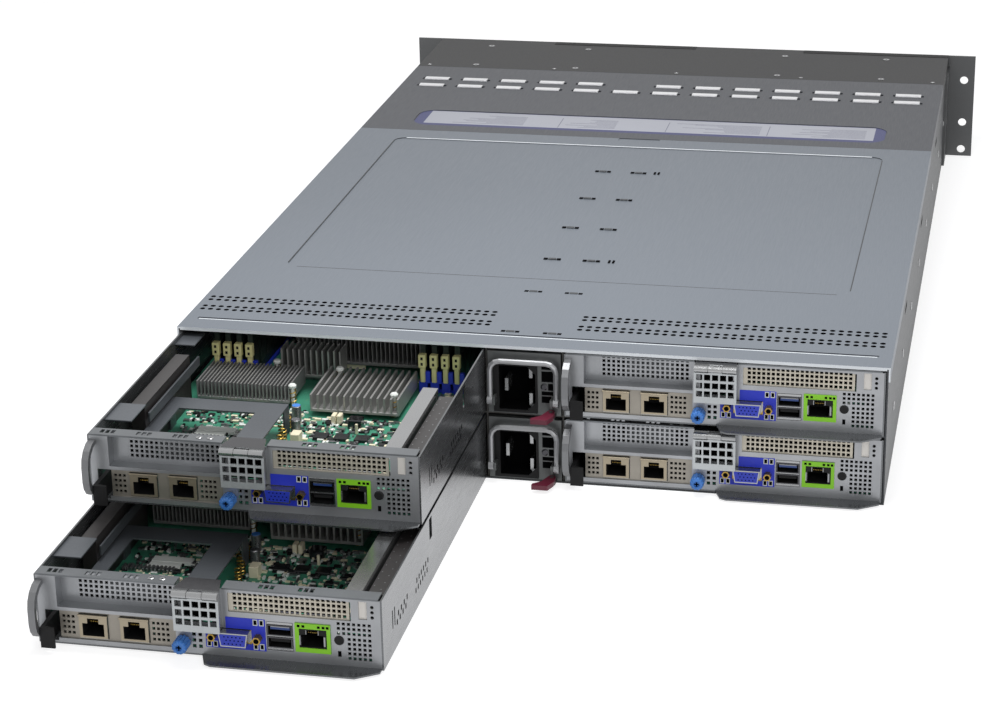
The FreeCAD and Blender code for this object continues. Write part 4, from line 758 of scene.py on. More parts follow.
# ---------------------------------------------------------------- covers
@dataclass
class Covers:
    """The top: perforated rear cover, fan cover with its label, front plate, and their screws and hooks.

    u runs from the top's left edge to its right, v from its rear edge to its front. Sizes are in millimetres.
    """

    vent_pitch: float = 5.25
    vent_columns: int = 36
    vent_rows: tuple[float, ...] = (34.0, 39.5, 51.0, 56.5)
    vent_starts: tuple[float, float] = (5.5, 247.0)
    vent_radius: float = 1.75
    vent_depth: float = 4.0
    vent_reach: float = 215.0
    hem: float = 1.0
    pressed_inset: float = 34.0
    pressed_front: float = 22.0
    pressed_rear: float = 121.0
    pressed_corner: float = 8.0
    bead: Point2 = (16.6, 15.8)
    bead_inset: float = 9.0
    sunk: float = 0.06
    hook_pairs: tuple[float, ...] = (24.6, 97.5, 161.6, 227.9, 294.0, 359.0)
    hook_columns: Point2 = (205.5, 231.7)
    hook_half: Point2 = (2.6, 1.2)
    hook_slot_half: Point2 = (1.3, 1.5)
    hook_slot_step: float = 4.4
    double_mark: Place = (245.0, 360.0, 162.0)
    label_half: Point2 = (183.5, 21.0)
    label_behind_seam: float = 36.0
    label_inset: float = 0.8
    label_corner: float = 8.0
    label_margins: Place = (9.0, 1.6, 6.5)
    label_fields: tuple[Point2, ...] = ((-168, -96), (-88, -20), (24, 64), (96, 160))
    label_dividers: Place = (-94, -16, 68)
    label_sunk: float = 0.4
    stroke_pitch: float = 2.6
    screw_columns: tuple[float, ...] = (48.0, 133.0, 302.0, 387.0)
    screw_rows: Point2 = (643.0, 706.0)
    seam_screws: tuple[float, ...] = (9.0, 116.0, 219.0, 322.0, 429.0)
    seam_screw_row: float = 638.0
    strip_ends: tuple[Point2, Point2] = ((101.0, 224.0), (316.0, 438.0))
    strip_rows: Point2 = (0.5, 9.0)
    wall_screws: tuple[float, ...] = (-330.0, -240.0, -150.0, -60.0, 30.0, 120.0, 210.0, 300.0)
    wall_screw_z: float = 38.0
    wall_slots: Place = (-200.0, 0.0, 180.0)
    wall_slot_length: float = 18.0
    wall_slot_rows: Point2 = (60.0, 64.0)

    def __post_init__(self) -> None:
        """Takes the places of the edges from the frame."""
        low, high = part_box("rear_cover")
        self.left, self.rear = high.x / MM, high.y / MM
        self.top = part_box("drive_cage")[1].z / MM
        self.seam = low.y / MM

    def spot(self, u: float, v: float) -> Place:
        """A place on the top, from its left edge and its rear edge."""
        return (self.left - u, self.rear - v, self.top)

    def rear_cover(self) -> None:
        """The rear cover with its rows of vent holes on each side."""
        run = (self.vent_columns - 1) * self.vent_pitch
        vents = [Holes(self.spot(start, row), self.spot(start + run, row), self.vent_columns, 1, self.vent_radius,
                       facing=Facing.ALONG_Z, depth=self.vent_depth, finish=COVER).mesh()
                 for start in self.vent_starts for row in self.vent_rows]
        sheet = cut(solid_copy("rear_cover"), joined("vents", vents))
        finish_faces(sheet, (COVER, CHASSIS, PAINTED_HIGHLIGHT_EDGE, PAINTED_SHADE), self.choose_cover)
        place("rear_cover_sheet", sheet, "chassis", "cover_steel", stands_for=["rear_cover"])

    def choose_cover(self, c: Vector, n: Vector) -> Finish:
        """The finish of one face of the rear cover: sheet, underside, painted highlight on the hem, or painted shade on
        a vent's wall.

        Args:
            c: the face's middle.
            n: its normal.

        Returns:
            Its finish.
        """
        if n.z < -0.5:
            return CHASSIS
        if n.z > 0.5:
            return COVER
        # The rear hem gets a painted highlight.
        if c.y > (self.rear - self.hem) * MM:
            return PAINTED_HIGHLIGHT_EDGE
        # Upright walls of the vent holes get painted shade.
        upright = abs(n.x) + abs(n.y) > 0.9
        return PAINTED_SHADE if upright and abs(c.x) < self.vent_reach * MM else COVER

    def painted_edge_lines(self) -> None:
        """Painted highlight strips on the embossed panel's front edge and on the rear bead, and painted shade lines
        along the panel's sides and rear edge.
        """
        side = self.left - self.pressed_inset
        front, rear = self.seam + self.pressed_front, self.rear - self.pressed_rear
        end, bead_end = side - self.pressed_corner, self.left - self.bead_inset
        low = self.top - self.sunk
        # Bright strips: painted highlights on the panel's front edge and on the rear bead.
        bright = [(-end, end, front - 0.9, front + 0.5, low, self.top + 0.04),
                  (-bead_end, bead_end, self.rear - self.bead[0], self.rear - self.bead[1], low, self.top + 0.04)]
        # These strips in the darker chassis steel are painted shade lines.
        painted_shade_lines = [(x - 0.35, x + 0.35, front + self.pressed_corner, rear - self.pressed_corner, low, self.top + 0.03)
                for x in (-side, side)]
        painted_shade_lines.append((-end, end, rear - 0.3, rear + 0.3, low, self.top + 0.03))
        place("painted_edge_lines", joined("painted edge lines", [boxes(PAINTED_HIGHLIGHT_EDGE, bright), boxes(CHASSIS, painted_shade_lines)]),
              "chassis", "cover_steel")

    def hooks(self) -> None:
        """Pairs of small pressed hooks that hold the cover to the frame below, and two double marks."""
        hooks, slots = [], []
        a, b = self.hook_half
        c, d = self.hook_slot_half
        for v in self.hook_pairs:
            for u in self.hook_columns:
                x, y, z = self.spot(u, v)
                hooks.append((x - a, x + a, y - b, y + b, z - 0.2, z + 0.35))
                slots += [(x + step - c, x + step + c, y - d, y + d, z - 0.3, z + self.sunk)
                          for step in (-self.hook_slot_step, self.hook_slot_step)]
        for v in self.double_mark[1:]:
            x, y, z = self.spot(self.double_mark[0], v)
            slots += [(x + step - 0.7, x + step + 0.7, y - 2.5, y + 2.5, z - 0.3, z + self.sunk)
                      for step in (-1.4, 1.4)]
        place("cover_hooks", boxes(CHASSIS, hooks, 0.15), "chassis", "cover_steel")
        # The slots and double marks are dark boxes of painted shade.
        place("cover_hook_slots", boxes(PAINTED_SHADE, slots), "chassis", "cover_steel")

    def label_loop(self) -> list[Point2]:
        """The label's outline, with round corners.

        Returns:
            The loop, round the label's own middle.
        """
        a, b = (half - self.label_inset for half in self.label_half)
        radius = self.label_corner - self.label_inset * 0.6
        points = []
        for sx, sy, start in ((1, 1, 0), (-1, 1, 90), (-1, -1, 180), (1, -1, 270)):
            for step in range(5):
                angle = math.radians(start + step * 22.5)
                points.append((sx * (a - radius) + radius * math.cos(angle),
                               sy * (b - radius) + radius * math.sin(angle)))
        return points

    def label(self) -> None:
        """A bare generic label in its recess: a dark border and plain line work with no words."""
        middle = self.seam - self.label_behind_seam
        side, low, high = self.label_margins
        half_x, half_y = self.label_half
        level = self.top - self.label_sunk

        def lift(a: float, b: float, h: float) -> Place:
            """Lays the label in its recess."""
            return (a, middle + b, level + h)

        inner = rectangle(-(half_x - side), half_x - side, -half_y + low, half_y - high)
        lines = []
        generator = random.Random(7)
        for start, end in self.label_fields:
            row = half_y - 11.0
            while row > -half_y + 9.0:
                length = (end - start) * generator.uniform(0.35, 1.0)
                lines.append((start, start + length, middle + row - 0.35, middle + row + 0.35,
                              level + 0.09, level + 0.13))
                row -= self.stroke_pitch
        lines += [(x - 0.3, x + 0.3, middle - half_y + 8, middle + half_y - 8, level + 0.09, level + 0.13)
                  for x in self.label_dividers]
        place("label_border", plate(NAVY, self.label_loop(), [inner], lift, 0.12), "chassis", "cover_steel")
        place("label_field", plate(LABEL, inner, [], lift, 0.1), "chassis", "cover_steel")
        place("label_lines", boxes(LABEL_LINE, lines), "chassis", "cover_steel")

    def lances(self) -> None:
        """The fan cover's steel, darkened as painted shade, with a painted highlight on the straps' top faces."""
        # Faces above the top plane are the straps' tops and get the painted highlight.
        finish_faces(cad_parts["fan_cover"].data, (SHADED_FAN_COVER, STRAP_HIGHLIGHT),
                     lambda c, n: STRAP_HIGHLIGHT if c.z / MM > self.top + 0.01 else SHADED_FAN_COVER)

    def screws(self) -> None:
        """Countersunk screws of the front plate and the small ones along the seam."""
        meshes = []
        for u in self.screw_columns:
            for v in self.screw_rows:
                meshes += screw_head(self.spot(u, v), 2.6)
        for u in self.seam_screws:
            meshes += screw_head(self.spot(u, self.seam_screw_row), 1.7)
        place("cover_screws", joined("cover screws", meshes), "chassis", "cover_steel")

    def front_strips(self) -> None:
        """The black strips along the front edge of the plate over the drives."""
        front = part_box("drive_cage")[0].y / MM
        near, far = self.strip_rows
        strips = [(self.left - u0, self.left - u1, front + near, front + far, self.top - 0.1, self.top + 0.25)
                  for u0, u1 in self.strip_ends]
        place("front_strips", boxes(BLACK, strips, 0.1), "chassis", "black_plastic")

    def side_details(self) -> None:
        """Rows of screws and slots along the side walls."""
        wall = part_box("chassis_tub")[1].x / MM
        screws, slots = [], []
        for side in (-1, 1):
            profile = ((0.0, 3.0), (side * 0.3, 3.0), (side * 0.6, 2.2), (side * 0.6, 1.2), (side * 0.2, 0.8))
            screws += [turned(BRIGHT, profile, (side * wall, y, self.wall_screw_z), Axis.X, 14)
                       for y in self.wall_screws]
            slots += [(side * (wall - 0.2), side * (wall + self.sunk), y, y + self.wall_slot_length,
                       *self.wall_slot_rows) for y in self.wall_slots]
        place("side_screws", joined("side screws", screws), "chassis", "chassis_steel")
        # The slots are dark boxes of painted shade.
        place("side_slots", boxes(PAINTED_SHADE, slots), "chassis", "chassis_steel")

    def build(self) -> None:
        """Builds every piece of the top."""
        self.rear_cover()
        self.painted_edge_lines()
        self.hooks()
        self.label()
        self.lances()
        self.screws()
        self.front_strips()
        self.side_details()


# ---------------------------------------------------------------- sleds
@dataclass
class Sled:
    """One compute sled, drawn once in its own directions and placed four times.

    s runs from the panel's left edge to its right, y out of the panel, z up from the sled's underside. Sizes are
    in millimetres.
    """

    width: float = 192.0
    height: float = 41.2
    board: float = 4.6
    card: float = 6.2
    panel_behind_lip: float = 12.0
    paint: float = 0.02
    jack_middles: Point2 = (31.6, 54.8)
    jack_low: float = 4.6
    jack_height: float = 14.0
    admin: float = 153.5
    admin_low: float = 8.6
    usb: float = 135.8
    usb_low: float = 7.0
    usb_rise: float = 5.0
    usb_height: float = 16.4
    display: float = 111.4
    display_z: float = 13.4
    display_reach: float = 5.6
    knob: Point2 = (82.0, 7.6)
    button: Point2 = (168.2, 15.8)
    memory_rows: Point2 = (-179.0, -321.0)
    memory_banks: Point2 = (18.25, 150.45)
    memory_pitch: float = 7.2
    memory_length: float = 133.0
    rail_left: float = 14.0
    rail_right: float = 179.9

    def origin(self, name: str) -> Vector:
        """The world place of a sled's middle, panel face and underside."""
        low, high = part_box(f"sled_{name}_tray")
        return Vector(((low.x + high.x) / 2, high.y - self.panel_behind_lip * MM, low.z))

    def x(self, s: float) -> float:
        """The distance from the sled's middle line."""
        return self.width / 2 - s

    def box(self, s0: float, s1: float, y0: float, y1: float, z0: float, z1: float) -> Box:
        """A box's corners from places along the panel."""
        return (self.x(s1), self.x(s0), y0, y1, z0, z1)

    def blocks(self, finish: Finish, rows: Iterable[Box], bevel: float = 0.0) -> Mesh:
        """Boxes of one finish from their places along the panel."""
        return boxes(finish, [self.box(*row) for row in rows], bevel)

    def on_panel(self, proud: float) -> Lift:
        """Lays a plate's own directions on the panel, this far out of it."""
        return lambda s, z, h: (self.x(s), proud + h, z)

    # -------- the panel and its ports
    def field(self, s: Point2, sheet: float, z: Point2, columns: int, rows: int, radius: float, sides: int = 4,
              facing: Facing = Facing.SQUARE_Y) -> Mesh:
        """The cutters of one field of holes in the sheet that lies so far out."""
        return Holes((self.x(s[0]), sheet, z[0]), (self.x(s[1]), sheet, z[1]), columns, rows, radius, sides,
                     facing).mesh()

    def panel(self) -> Mesh:
        """The rear panel with all its small holes and the slots in its flange.

        Returns:
            The panel's mesh, which stands for its CAD node.
        """
        bay, plates, face = -8.5, -1.5, -0.5
        cutters = [self.field((23.0, 73.6), bay, (26.2, 37.4), 18, 5, 1.25),
                   self.field((111.6, 171.4), plates, (29.4, 38.0), 22, 4, 1.35),
                   self.field((14.8, 20.0), plates, (6.8, 16.4), 3, 4, 1.15),
                   self.field((65.4, 73.2), plates, (6.8, 16.4), 4, 4, 1.15),
                   self.field((88.1, 91.6), face, (5.4, 15.8), 2, 4, 1.45),
                   self.field((173.6, 184.8), face, (5.6, 16.8), 5, 5, 1.2),
                   self.field((168.0, 184.8), face, (20.0, 25.6), 7, 3, 1.2),
                   self.field((186.6, 187.0), face, (30.5, 36.5), 1, 3, 1.0, 10, Facing.ALONG_Y)]
        slots = [(s + step, s + step + 2.2, -7.0, -2.6, self.height - 2.5, self.height + 2.5)
                 for s in (6.4, 27.8, 49.2, 124.0, 145.8) for step in (0.0, 3.2, 6.4)]
        mesh = cut(solid_copy("sled_upper_right_panel", -self.origin("upper_right")),
                   joined("panel holes", cutters + [self.blocks(PANEL, slots)]))
        finish_faces(mesh, (PANEL, NICKEL, GRID, BRIGHT, DARK_CHROME, FLANGE, LOOP), self.choose_panel)
        return mesh

    def choose_panel(self, c: Vector, n: Vector) -> Finish:
        """The finish of one face of the panel: sheet, network plate, grid, hinge, lock, loop or flange.

        Args:
            c: the face's middle.
            n: its normal.

        Returns:
            Its finish.
        """
        s, y, z = self.width / 2 - c.x / MM, c.y / MM, c.z / MM
        if -2.05 < y < -0.99 or (abs(y + 1.0) < 0.01 and n.y > 0.5):
            if 106 <= s <= 174.2 and 25.4 <= z <= 39.1:
                return GRID
            if 12.4 <= s <= 79.1 and 2.4 <= z <= 19.6:
                return NICKEL
        if 79 <= s <= 105.1 and (y > 0.01 or z > 40.3):
            return DARK_CHROME if z > 40.3 and y < 4 else BRIGHT
        if y < -9.1:
            return BRIGHT
        if y > 0.01 and s < 6.0:
            return LOOP
        return FLANGE if z > 40.1 else PANEL

    def backings(self) -> Mesh:
        """Painted shade behind the grids: dark blocks where the closed card and bay show only shadow.

        Returns:
            The backings of all fields and of the flap, and the card's grey one.
        """
        bay, near, lock = (-11.6, -11.2), (-4.4, -4.0), (-3.4, -3.0)
        dark = ((16.0, 37.0, bay, 24.0, 39.8), (66.0, 77.0, bay, 24.0, 39.8), (107.0, 173.5, near, 28.0, 38.4),
                (171.6, 187.4, near, 4.0, 18.0), (165.4, 187.4, near, 19.6, 26.0), (14.0, 20.6, near, 5.0, 18.6),
                (64.6, 74.6, near, 5.0, 18.6), (86.4, 93.2, near, 4.0, 17.6), (79.4, 104.6, lock, 19.4, 37.6))
        return joined("grid backings",
                      [self.blocks(PAINTED_SHADE, [(s0, s1, *depth, z0, z1) for s0, s1, depth, z0, z1 in dark]),
                       self.blocks(FLANGE, [(37.2, 65.8, *bay, 24.0, 39.8)])])

    def display_paint(self) -> Mesh:
        """The blue field round the display connector, with pairs of white-rimmed slots drawn as dark plates of painted
        shade.

        Returns:
            The paint, rims and slots.
        """
        left, right, step, low, middle, high = 94.6, 128.0, 106.2, 5.6, 16.9, 24.4
        outline = [(left, low), (right, low), (right, high), (step, high), (step, middle), (left, middle)]
        z, half = self.display_z, 4.4
        hole = [(102.6, z - half), (120.2, z - half), (120.2, z + half), (106.4, z + half), (106.4, 16.8),
                (102.6, 16.8)]
        slots = [(s, z) for s0, z in ((98.2, 7.8), (124.0, 8.0), (124.2, 22.2)) for s in (s0 - 1.7, s0 + 1.7)]
        outer = [rectangle(s - 1.3, s + 1.3, z - 1.8, z + 1.8) for s, z in slots]
        inner = [rectangle(s - 0.85, s + 0.85, z - 1.3, z + 1.3) for s, z in slots]
        lift = self.on_panel(self.paint)
        return joined("display paint", [plate(BLUE_PAINT, outline, [hole], lift, 0.12)]
                      + [plate(WHITE_PRINT, rim, [slot], lift, 0.18) for rim, slot in zip(outer, inner)]
                      + [plate(PAINTED_SHADE, slot, [], lift, 0.15) for slot in inner])

    def display_face(self) -> Mesh:
        """The blue insulator of the display connector with its three rows of contacts, drawn as dark discs of painted
        shade.

        Returns:
            Insulator, contacts and the bores of the two posts.
        """
        s, z, reach = self.display, self.display_z, self.display_reach
        half, rise, pitch = 7.4, 3.2, 2.2
        outline = [(s - half, z + rise), (s + half, z + rise), (s + half - 1.0, z - rise), (s - half + 1.0, z - rise)]
        meshes = [plate(BLUE_PORT, outline, [], self.on_panel(reach), 0.25)]
        for row, shift in ((-2.0, 0.0), (0.0, pitch / 2), (2.0, 0.0)):
            meshes.append(Pattern.grow(Shape.PRISM, PAINTED_SHADE, (self.x(s - 4.6 + shift), reach + 0.26, z + row),
                                       (-pitch, 0, 0), (0, 0, 0), 5, 1, (0.42, 0, 0.06), 8, Facing.ALONG_Y.value))
        # The post bores are dark discs of painted shade.
        meshes += [turned(PAINTED_SHADE, ((4.61, 1.5), (4.66, 1.5)), (self.x(s + post), 0, z), Axis.Y, 12)
                   for post in (-12.5, 12.5)]
        return joined("display face", meshes)

    def jack_contacts(self) -> Mesh:
        """Gold contacts in each network jack, and the metal tabs of its shield.

        Returns:
            The contacts and tabs of all three jacks.
        """
        meshes = []
        for s, low in ((self.jack_middles[0], self.jack_low), (self.jack_middles[1], self.jack_low),
                       (self.admin, self.admin_low)):
            z = low + 1.6
            meshes.append(Pattern.grow(Shape.BLOCK, BRASS, (self.x(s - 3.5), -6.5, z + 6.6), (-1.0, 0, 0), (0, 0, 0),
                                       8, 1, (0.4, 9.0, 0.4), turn=(math.radians(14), 0, 0)))
            meshes.append(self.blocks(BRIGHT, [(a, a + 0.8, -4, -0.3, z + 1.5, z + 5.5) for a in (s - 7.4, s + 6.6)]))
        return joined("jack contacts", meshes)

    @staticmethod
    def jack_opening(s: float, low: float, half: float, shoulder: float, notch: float, top: float) -> list[Point2]:
        """A jack's opening round its middle, with the narrower notch for the plug's latch over its shoulder."""
        return [(s - half, low), (s + half, low), (s + half, shoulder), (s + notch, shoulder), (s + notch, top),
                (s - notch, top), (s - notch, shoulder), (s - half, shoulder)]

    def jack_shields(self) -> Mesh:
        """Warm spring shields round the network jacks, with a dark latch notch.

        Returns:
            Both shields.
        """
        meshes, low = [], self.jack_low
        for s in self.jack_middles:
            outline = rectangle(s - 7.9, s + 7.9, low + 0.4, low + self.jack_height - 0.4)
            hole = self.jack_opening(s, low + 1.6, 6.1, low + 9.0, 3.2, low + 12.0)
            meshes.append(plate(SHIELD, outline, [hole], self.on_panel(self.paint), 0.35))
            meshes.append(self.blocks(SHIELD, [(s - 8.4, s + 8.4, 0.0, 1.1, low + 13.2, low + 14.2)], 0.15))
        return joined("jack shields", meshes)

    def admin_frame(self) -> Mesh:
        """The lime frame round the admin jack, its black jack face and bright springs.

        Returns:
            Frame, face, springs and slots.
        """
        left, right, low, high = 144.3, 163.6, 7.4, 24.2
        s, lift = self.admin, self.on_panel(0.05)
        outline = rectangle(left, right, low, high)
        inner = rectangle(left + 2.2, right - 2.0, low + 2.6, high - 3.0)
        hole = self.jack_opening(s, low + 3.2, 6.2, low + 10.2, 3.6, low + 13.0)
        springs = [(a, a + 1.0, 0.2, 0.6, low + 4.0, low + 9.6) for a in (s - 7.3, s + 6.3)]
        slots = [(a, a + 1.5, 0.75, 0.86, high - 2.2, high - 0.8) for a in (145.6, 148.2, 156.6, 159.2, 161.4)]
        # The slots at the frame's top are dark boxes of painted shade.
        return joined("admin frame", [plate(LIME, outline, [inner], lift, 0.75), plate(BLACK, inner, [hole], lift, 0.3),
                                      self.blocks(SOLDER, springs, 0.1), self.blocks(PAINTED_SHADE, slots)])

    def usb_tongues(self) -> Mesh:
        """The rims and tongues of the two small ports.

        Returns:
            Both ports' tongues and rims.
        """
        s, rise = self.usb, self.usb_rise
        rib = (self.usb_height - 2 * rise) / 3
        lows = [self.usb_low + rib + index * (rise + rib) for index in range(2)]
        tongues = [self.blocks(finish, [(s - 5.4, s + 5.4, -10.9, -0.8, low + 2.4, low + 4.2)], 0.1)
                   for low, finish in zip(lows, (BLACK, PORT_TONGUE))]
        line = self.blocks(SOLDER, [(s - 5.2, s + 5.2, -1.6, -0.6, lows[1] + 3.9, lows[1] + 4.3)])
        rims = [plate(DARK_CHROME, rectangle(s - 6.9, s + 6.9, low - 0.6, low + rise + 0.6),
                      [rectangle(s - 6.2, s + 6.2, low, low + rise)], self.on_panel(self.paint), 0.5) for low in lows]
        return joined("usb tongues", tongues + [line] + rims)

    def panel_fittings(self) -> Mesh:
        """Button, light slot as a dark block of painted shade, pale slot plate and the screws on the flange.

        Returns:
            All of them.
        """
        middle = (self.x(self.button[0]), 0.0, self.button[1])
        meshes = [turned(BLACK, ((0.0, 2.5), (0.7, 2.5), (0.9, 2.1)), middle, Axis.Y),
                  turned(DARK_CHROME, ((0.0, 2.8), (0.15, 2.8), (0.2, 2.5)), middle, Axis.Y, 20),
                  self.blocks(PAINTED_SHADE, [(167.3, 169.1, 0.0, 0.12, 6.2, 9.4)]),
                  self.blocks(PILL, [(178.9, 184.1, -1.5, -0.95, 28.8, 39.7)], 0.2)]
        for s in (64.5, 71.0):
            meshes += screw_head((self.x(s), -4.6, self.height), 1.9)
        return joined("panel fittings", meshes)

    def thumbscrew(self) -> Mesh:
        """The blue captive screw: a fluted head with a cross recess drawn as dark painted shade, and its steel shank.

        Returns:
            Head, shank and recess.
        """
        s, z = self.knob
        centre = (self.x(s), 0.0, z)
        head = ((0.35, 3.6), (0.6, 4.2), (7.4, 4.2), (8.3, 3.7), (8.75, 2.6), (8.75, 1.9), (7.9, 1.7))
        shank = ((-8.0, 1.2), (-7.6, 1.5), (0.4, 1.5))
        cross = [(s - a, s + a, 7.9, 8.1, z - b, z + b) for a, b in ((0.4, 1.7), (1.7, 0.4))]
        return joined("thumbscrew", [turned(BLUE_KNOB, head, centre, Axis.Y, 48, 4, 0.5),
                                     turned(SOLDER, shank, centre, Axis.Y), self.blocks(PAINTED_SHADE, cross)])

    # -------- the inside
    def fin_block(self, s: Point2, y: Point2, base: float, top: float, fins: int, finish: Finish,
                  thick: float = 0.6) -> Mesh:
        """A heat sink: its base plate and fins that run front to rear.

        Args:
            s: its left and right sides.
            y: its front and rear.
            base: the base plate's underside.
            top: the fins' upper edges.
            fins: how many fins it has.
            finish: what it is made of.
            thick: a fin's thickness.

        Returns:
            Base and fins.
        """
        foot = base + 2.0
        step = (s[1] - s[0] - thick) / (fins - 1)
        return joined("fin block", [
            self.blocks(finish, [(*s, *y, base, foot)], 0.3),
            Pattern.grow(Shape.BLOCK, finish, (self.x(s[0] + thick / 2), (y[0] + y[1]) / 2, (foot + top) / 2),
                         (-step, 0, 0), (0, 0, 0), fins, 1, (thick, y[1] - y[0], top - base - 2.0))])

    def coil(self, s: float, y: float, base: float, rise: float, radius: float, steps: int) -> list[Place]:
        """The route of a wire coil of four turns that stands on its base."""
        whole = math.tau * 4
        return [(self.x(s) + radius * math.cos(a), y + radius * math.sin(a), base + rise * a / whole)
                for a in (whole * k / steps for k in range(steps + 1))]

    def push_pin(self, s: float, y: float, base: float, top: float) -> list[Mesh]:
        """A cream push-pin with a round cap, and its brass spring."""
        pin = ((base, 1.2), (top - 2.4, 1.2), (top - 2.2, 2.3), (top - 0.8, 2.5), (top, 1.8), (top, 0.8))
        return [turned(WHITE_PRINT, pin, (self.x(s), y, 0.0), Axis.Z),
                tube(BRASS, self.coil(s, y, base, top - 3.2 - base, 2.0, 60), 0.35)]

    def heat_sinks(self) -> Mesh:
        """The processors' sinks and the controllers' sinks, with their push-pins; two small sinks and the fin tops of
        one are in a painted highlight.

        Returns:
            All five sinks, which stand for their CAD node.
        """
        socket, chip = self.board + 6.0, self.board + 3.0
        left, right, front, rear, fins, thick = 17.0, 76.0, -174.0, -139.0, 26, 0.8
        meshes = [self.fin_block((64.0, 146.0), (-301.0, -201.0), socket, 36.0, 30, FINS),
                  self.fin_block((64.0, 146.0), (-443.0, -343.0), socket, 36.0, 30, FINS),
                  self.fin_block((left, right), (front, rear), chip, 19.0, fins, FINS, thick),
                  self.fin_block((91.5, 146.6), (-178.0, -130.0), chip, 18.5, 14, FIN_HIGHLIGHT, 1.2),
                  self.fin_block((58.0, 96.5), (-197.0, -183.0), chip, 26.0, 11, FIN_HIGHLIGHT, 1.0)]
        feet = [(78.0, 132.0, -287.0, -215.0, self.board, socket),
                (78.0, 132.0, -429.0, -357.0, self.board, socket),
                (26.0, 67.0, -165.0, -148.0, self.board, chip),
                (100.5, 137.6, -169.0, -139.0, self.board, chip),
                (62.0, 92.5, -193.0, -187.0, self.board, chip)]
        meshes.append(self.blocks(SOLDER, feet, 0.4))
        step, pitch = (right - left - thick) / (fins - 1), 3.2
        # Thin strips on the fin tops of the left sink: painted highlights.
        painted_highlight_tips = [(left + k * step, left + thick + k * step, front + 0.5 + m * pitch, front + 2.3 + m * pitch,
                 18.9, 19.05) for k in range(fins) for m in range(11)]
        meshes.append(self.blocks(FIN_HIGHLIGHT, painted_highlight_tips))
        for s, y, top in ((77.4, -141.5, 19.8), (99.0, -172.0, 20.4), (142.6, -136.0, 20.4), (55.0, -184.0, 18.0)):
            meshes += self.push_pin(s, y, self.board + 0.4, top)
        return joined("heat sinks", meshes)

    def memory(self) -> Mesh:
        """Chips, latches and socket ends of the memory banks.

        Returns:
            The fittings of all 16 modules.
        """
        chips, latches, heads, dots, sockets, clips = [], [], [], [], [], []
        for row in self.memory_rows:
            for left in self.memory_banks:
                for index in range(4):
                    s = left + index * self.memory_pitch
                    chips += [(s - 1.9, s + 1.9, row - 10 - k * 13.0, row - 1 - k * 13.0, 12.0, 30.0)
                              for k in range(10)]
                    for end, way in ((row, 1), (row - self.memory_length, -1)):
                        near = end + way * 0.1
                        latches.append((s - 1.5, s + 1.5, near, end + way * 3.4, 12.0, 29.0))
                        heads.append((s - 2.3, s + 2.3, near, end + way * 4.6, 22.0, 30.5))
                        sockets.append((s - 2.7, s + 2.7, near, end + way * 2.4, self.board, 12.2))
                        clips.append((s + 1.7, s + 4.6, near, end + way * 3.0, 11.5, 19.0))
                    dots += [(s - 0.7, s + 0.7, row + 4.6, row + 4.75, z, z + 1.8) for z in (23.6, 27.2)]
        return joined("memory", [self.blocks(BLACK_GLOSS, chips), self.blocks(LATCH_YELLOW, latches + heads, 0.4),
                                 self.blocks(BLACK, dots), self.blocks(BLUE_PORT, sockets + clips, 0.3)])

    def board_parts(self) -> Mesh:
        """Chips, capacitors, coils and small parts over the free places of the board.

        Returns:
            All the parts of one board.
        """
        generator = random.Random(2026)
        base = self.board
        fields = ((88.0, 168.0, -128.0, -24.0), (150.0, 178.0, -176.0, -128.0), (98.0, 146.0, -198.0, -181.0),
                  (17.0, 88.0, -137.0, -107.0), (46.0, 62.0, -440.0, -200.0), (18.0, 66.0, -104.0, -80.0))
        small: dict[Finish, list[Box]] = {BLACK: [], CREAM: [], SOLDER: [], WHITE_PRINT: []}
        chips = []
        for s0, s1, y0, y1 in fields:
            area = (s1 - s0) * (y1 - y0)
            for _ in range(int(area / 9)):
                s, y = generator.uniform(s0, s1), generator.uniform(y0, y1)
                a, b = generator.choice(((0.9, 0.5), (0.5, 0.9), (1.4, 0.7), (0.7, 1.4), (1.9, 1.1)))
                finish = generator.choices(tuple(small), (3, 3, 4, 3))[0]
                small[finish].append((s - a, s + a, y - b, y + b, base, base + 0.1 + b * 0.9))
            for _ in range(int(area / 330)):
                s, y = generator.uniform(s0 + 3, s1 - 3), generator.uniform(y0 + 3, y1 - 3)
                half = generator.uniform(1.3, 2.6)
                chips.append((s - half, s + half, y - half * 0.8, y + half * 0.8, base, base + 1.2))
        chips += [(s - 4.2, s + 4.2, -102.6, -94.4, base, base + 1.8) for s in (107.0, 119.4, 132.0)]
        coils = [(119.0, 127.5, -121.5, -113.5, base, 10.5), (152.0, 159.0, -120.0, -113.0, base, 9.5)]
        meshes = [self.blocks(BLACK_GLOSS, chips, 0.15), self.blocks(DARK_CHROME, coils, 0.6)]
        meshes += [self.blocks(finish, places) for finish, places in small.items()]
        for s, y, top, cap in ((86.5, -118.0, 16.0, BLUE_KNOB), (90.0, -104.0, 13.0, SOLDER),
                               (163.0, -104.0, 12.0, SOLDER)):
            can = ((base, 2.9), (base + 0.6, 3.2), (base + 1.0, 2.9), (top - 0.4, 2.9), (top, 2.5))
            meshes += [turned(SOLDER, can, (self.x(s), y, 0.0), Axis.Z),
                       turned(cap, ((top, 2.6), (top + 0.2, 2.5)), (self.x(s), y, 0.0), Axis.Z)]
        headers = [(92.0, 97.5, -92.0, -84.5, base, 11.5), (107.5, 110.2, -124.5, -118.5, base, 10.5),
                   (111.0, 113.6, -124.5, -118.5, base, 10.5),
                   (125.6, 127.2, -108.0, -106.4, base, 11.0),
                   (99.0, 105.0, -216.0, -209.0, 6.0, 12.0), (94.0, 106.0, -207.0, -205.5, 6.0, 10.0)]
        meshes.append(self.blocks(CREAM, headers, 0.3))
        rise = 0.32 * math.tau * 4
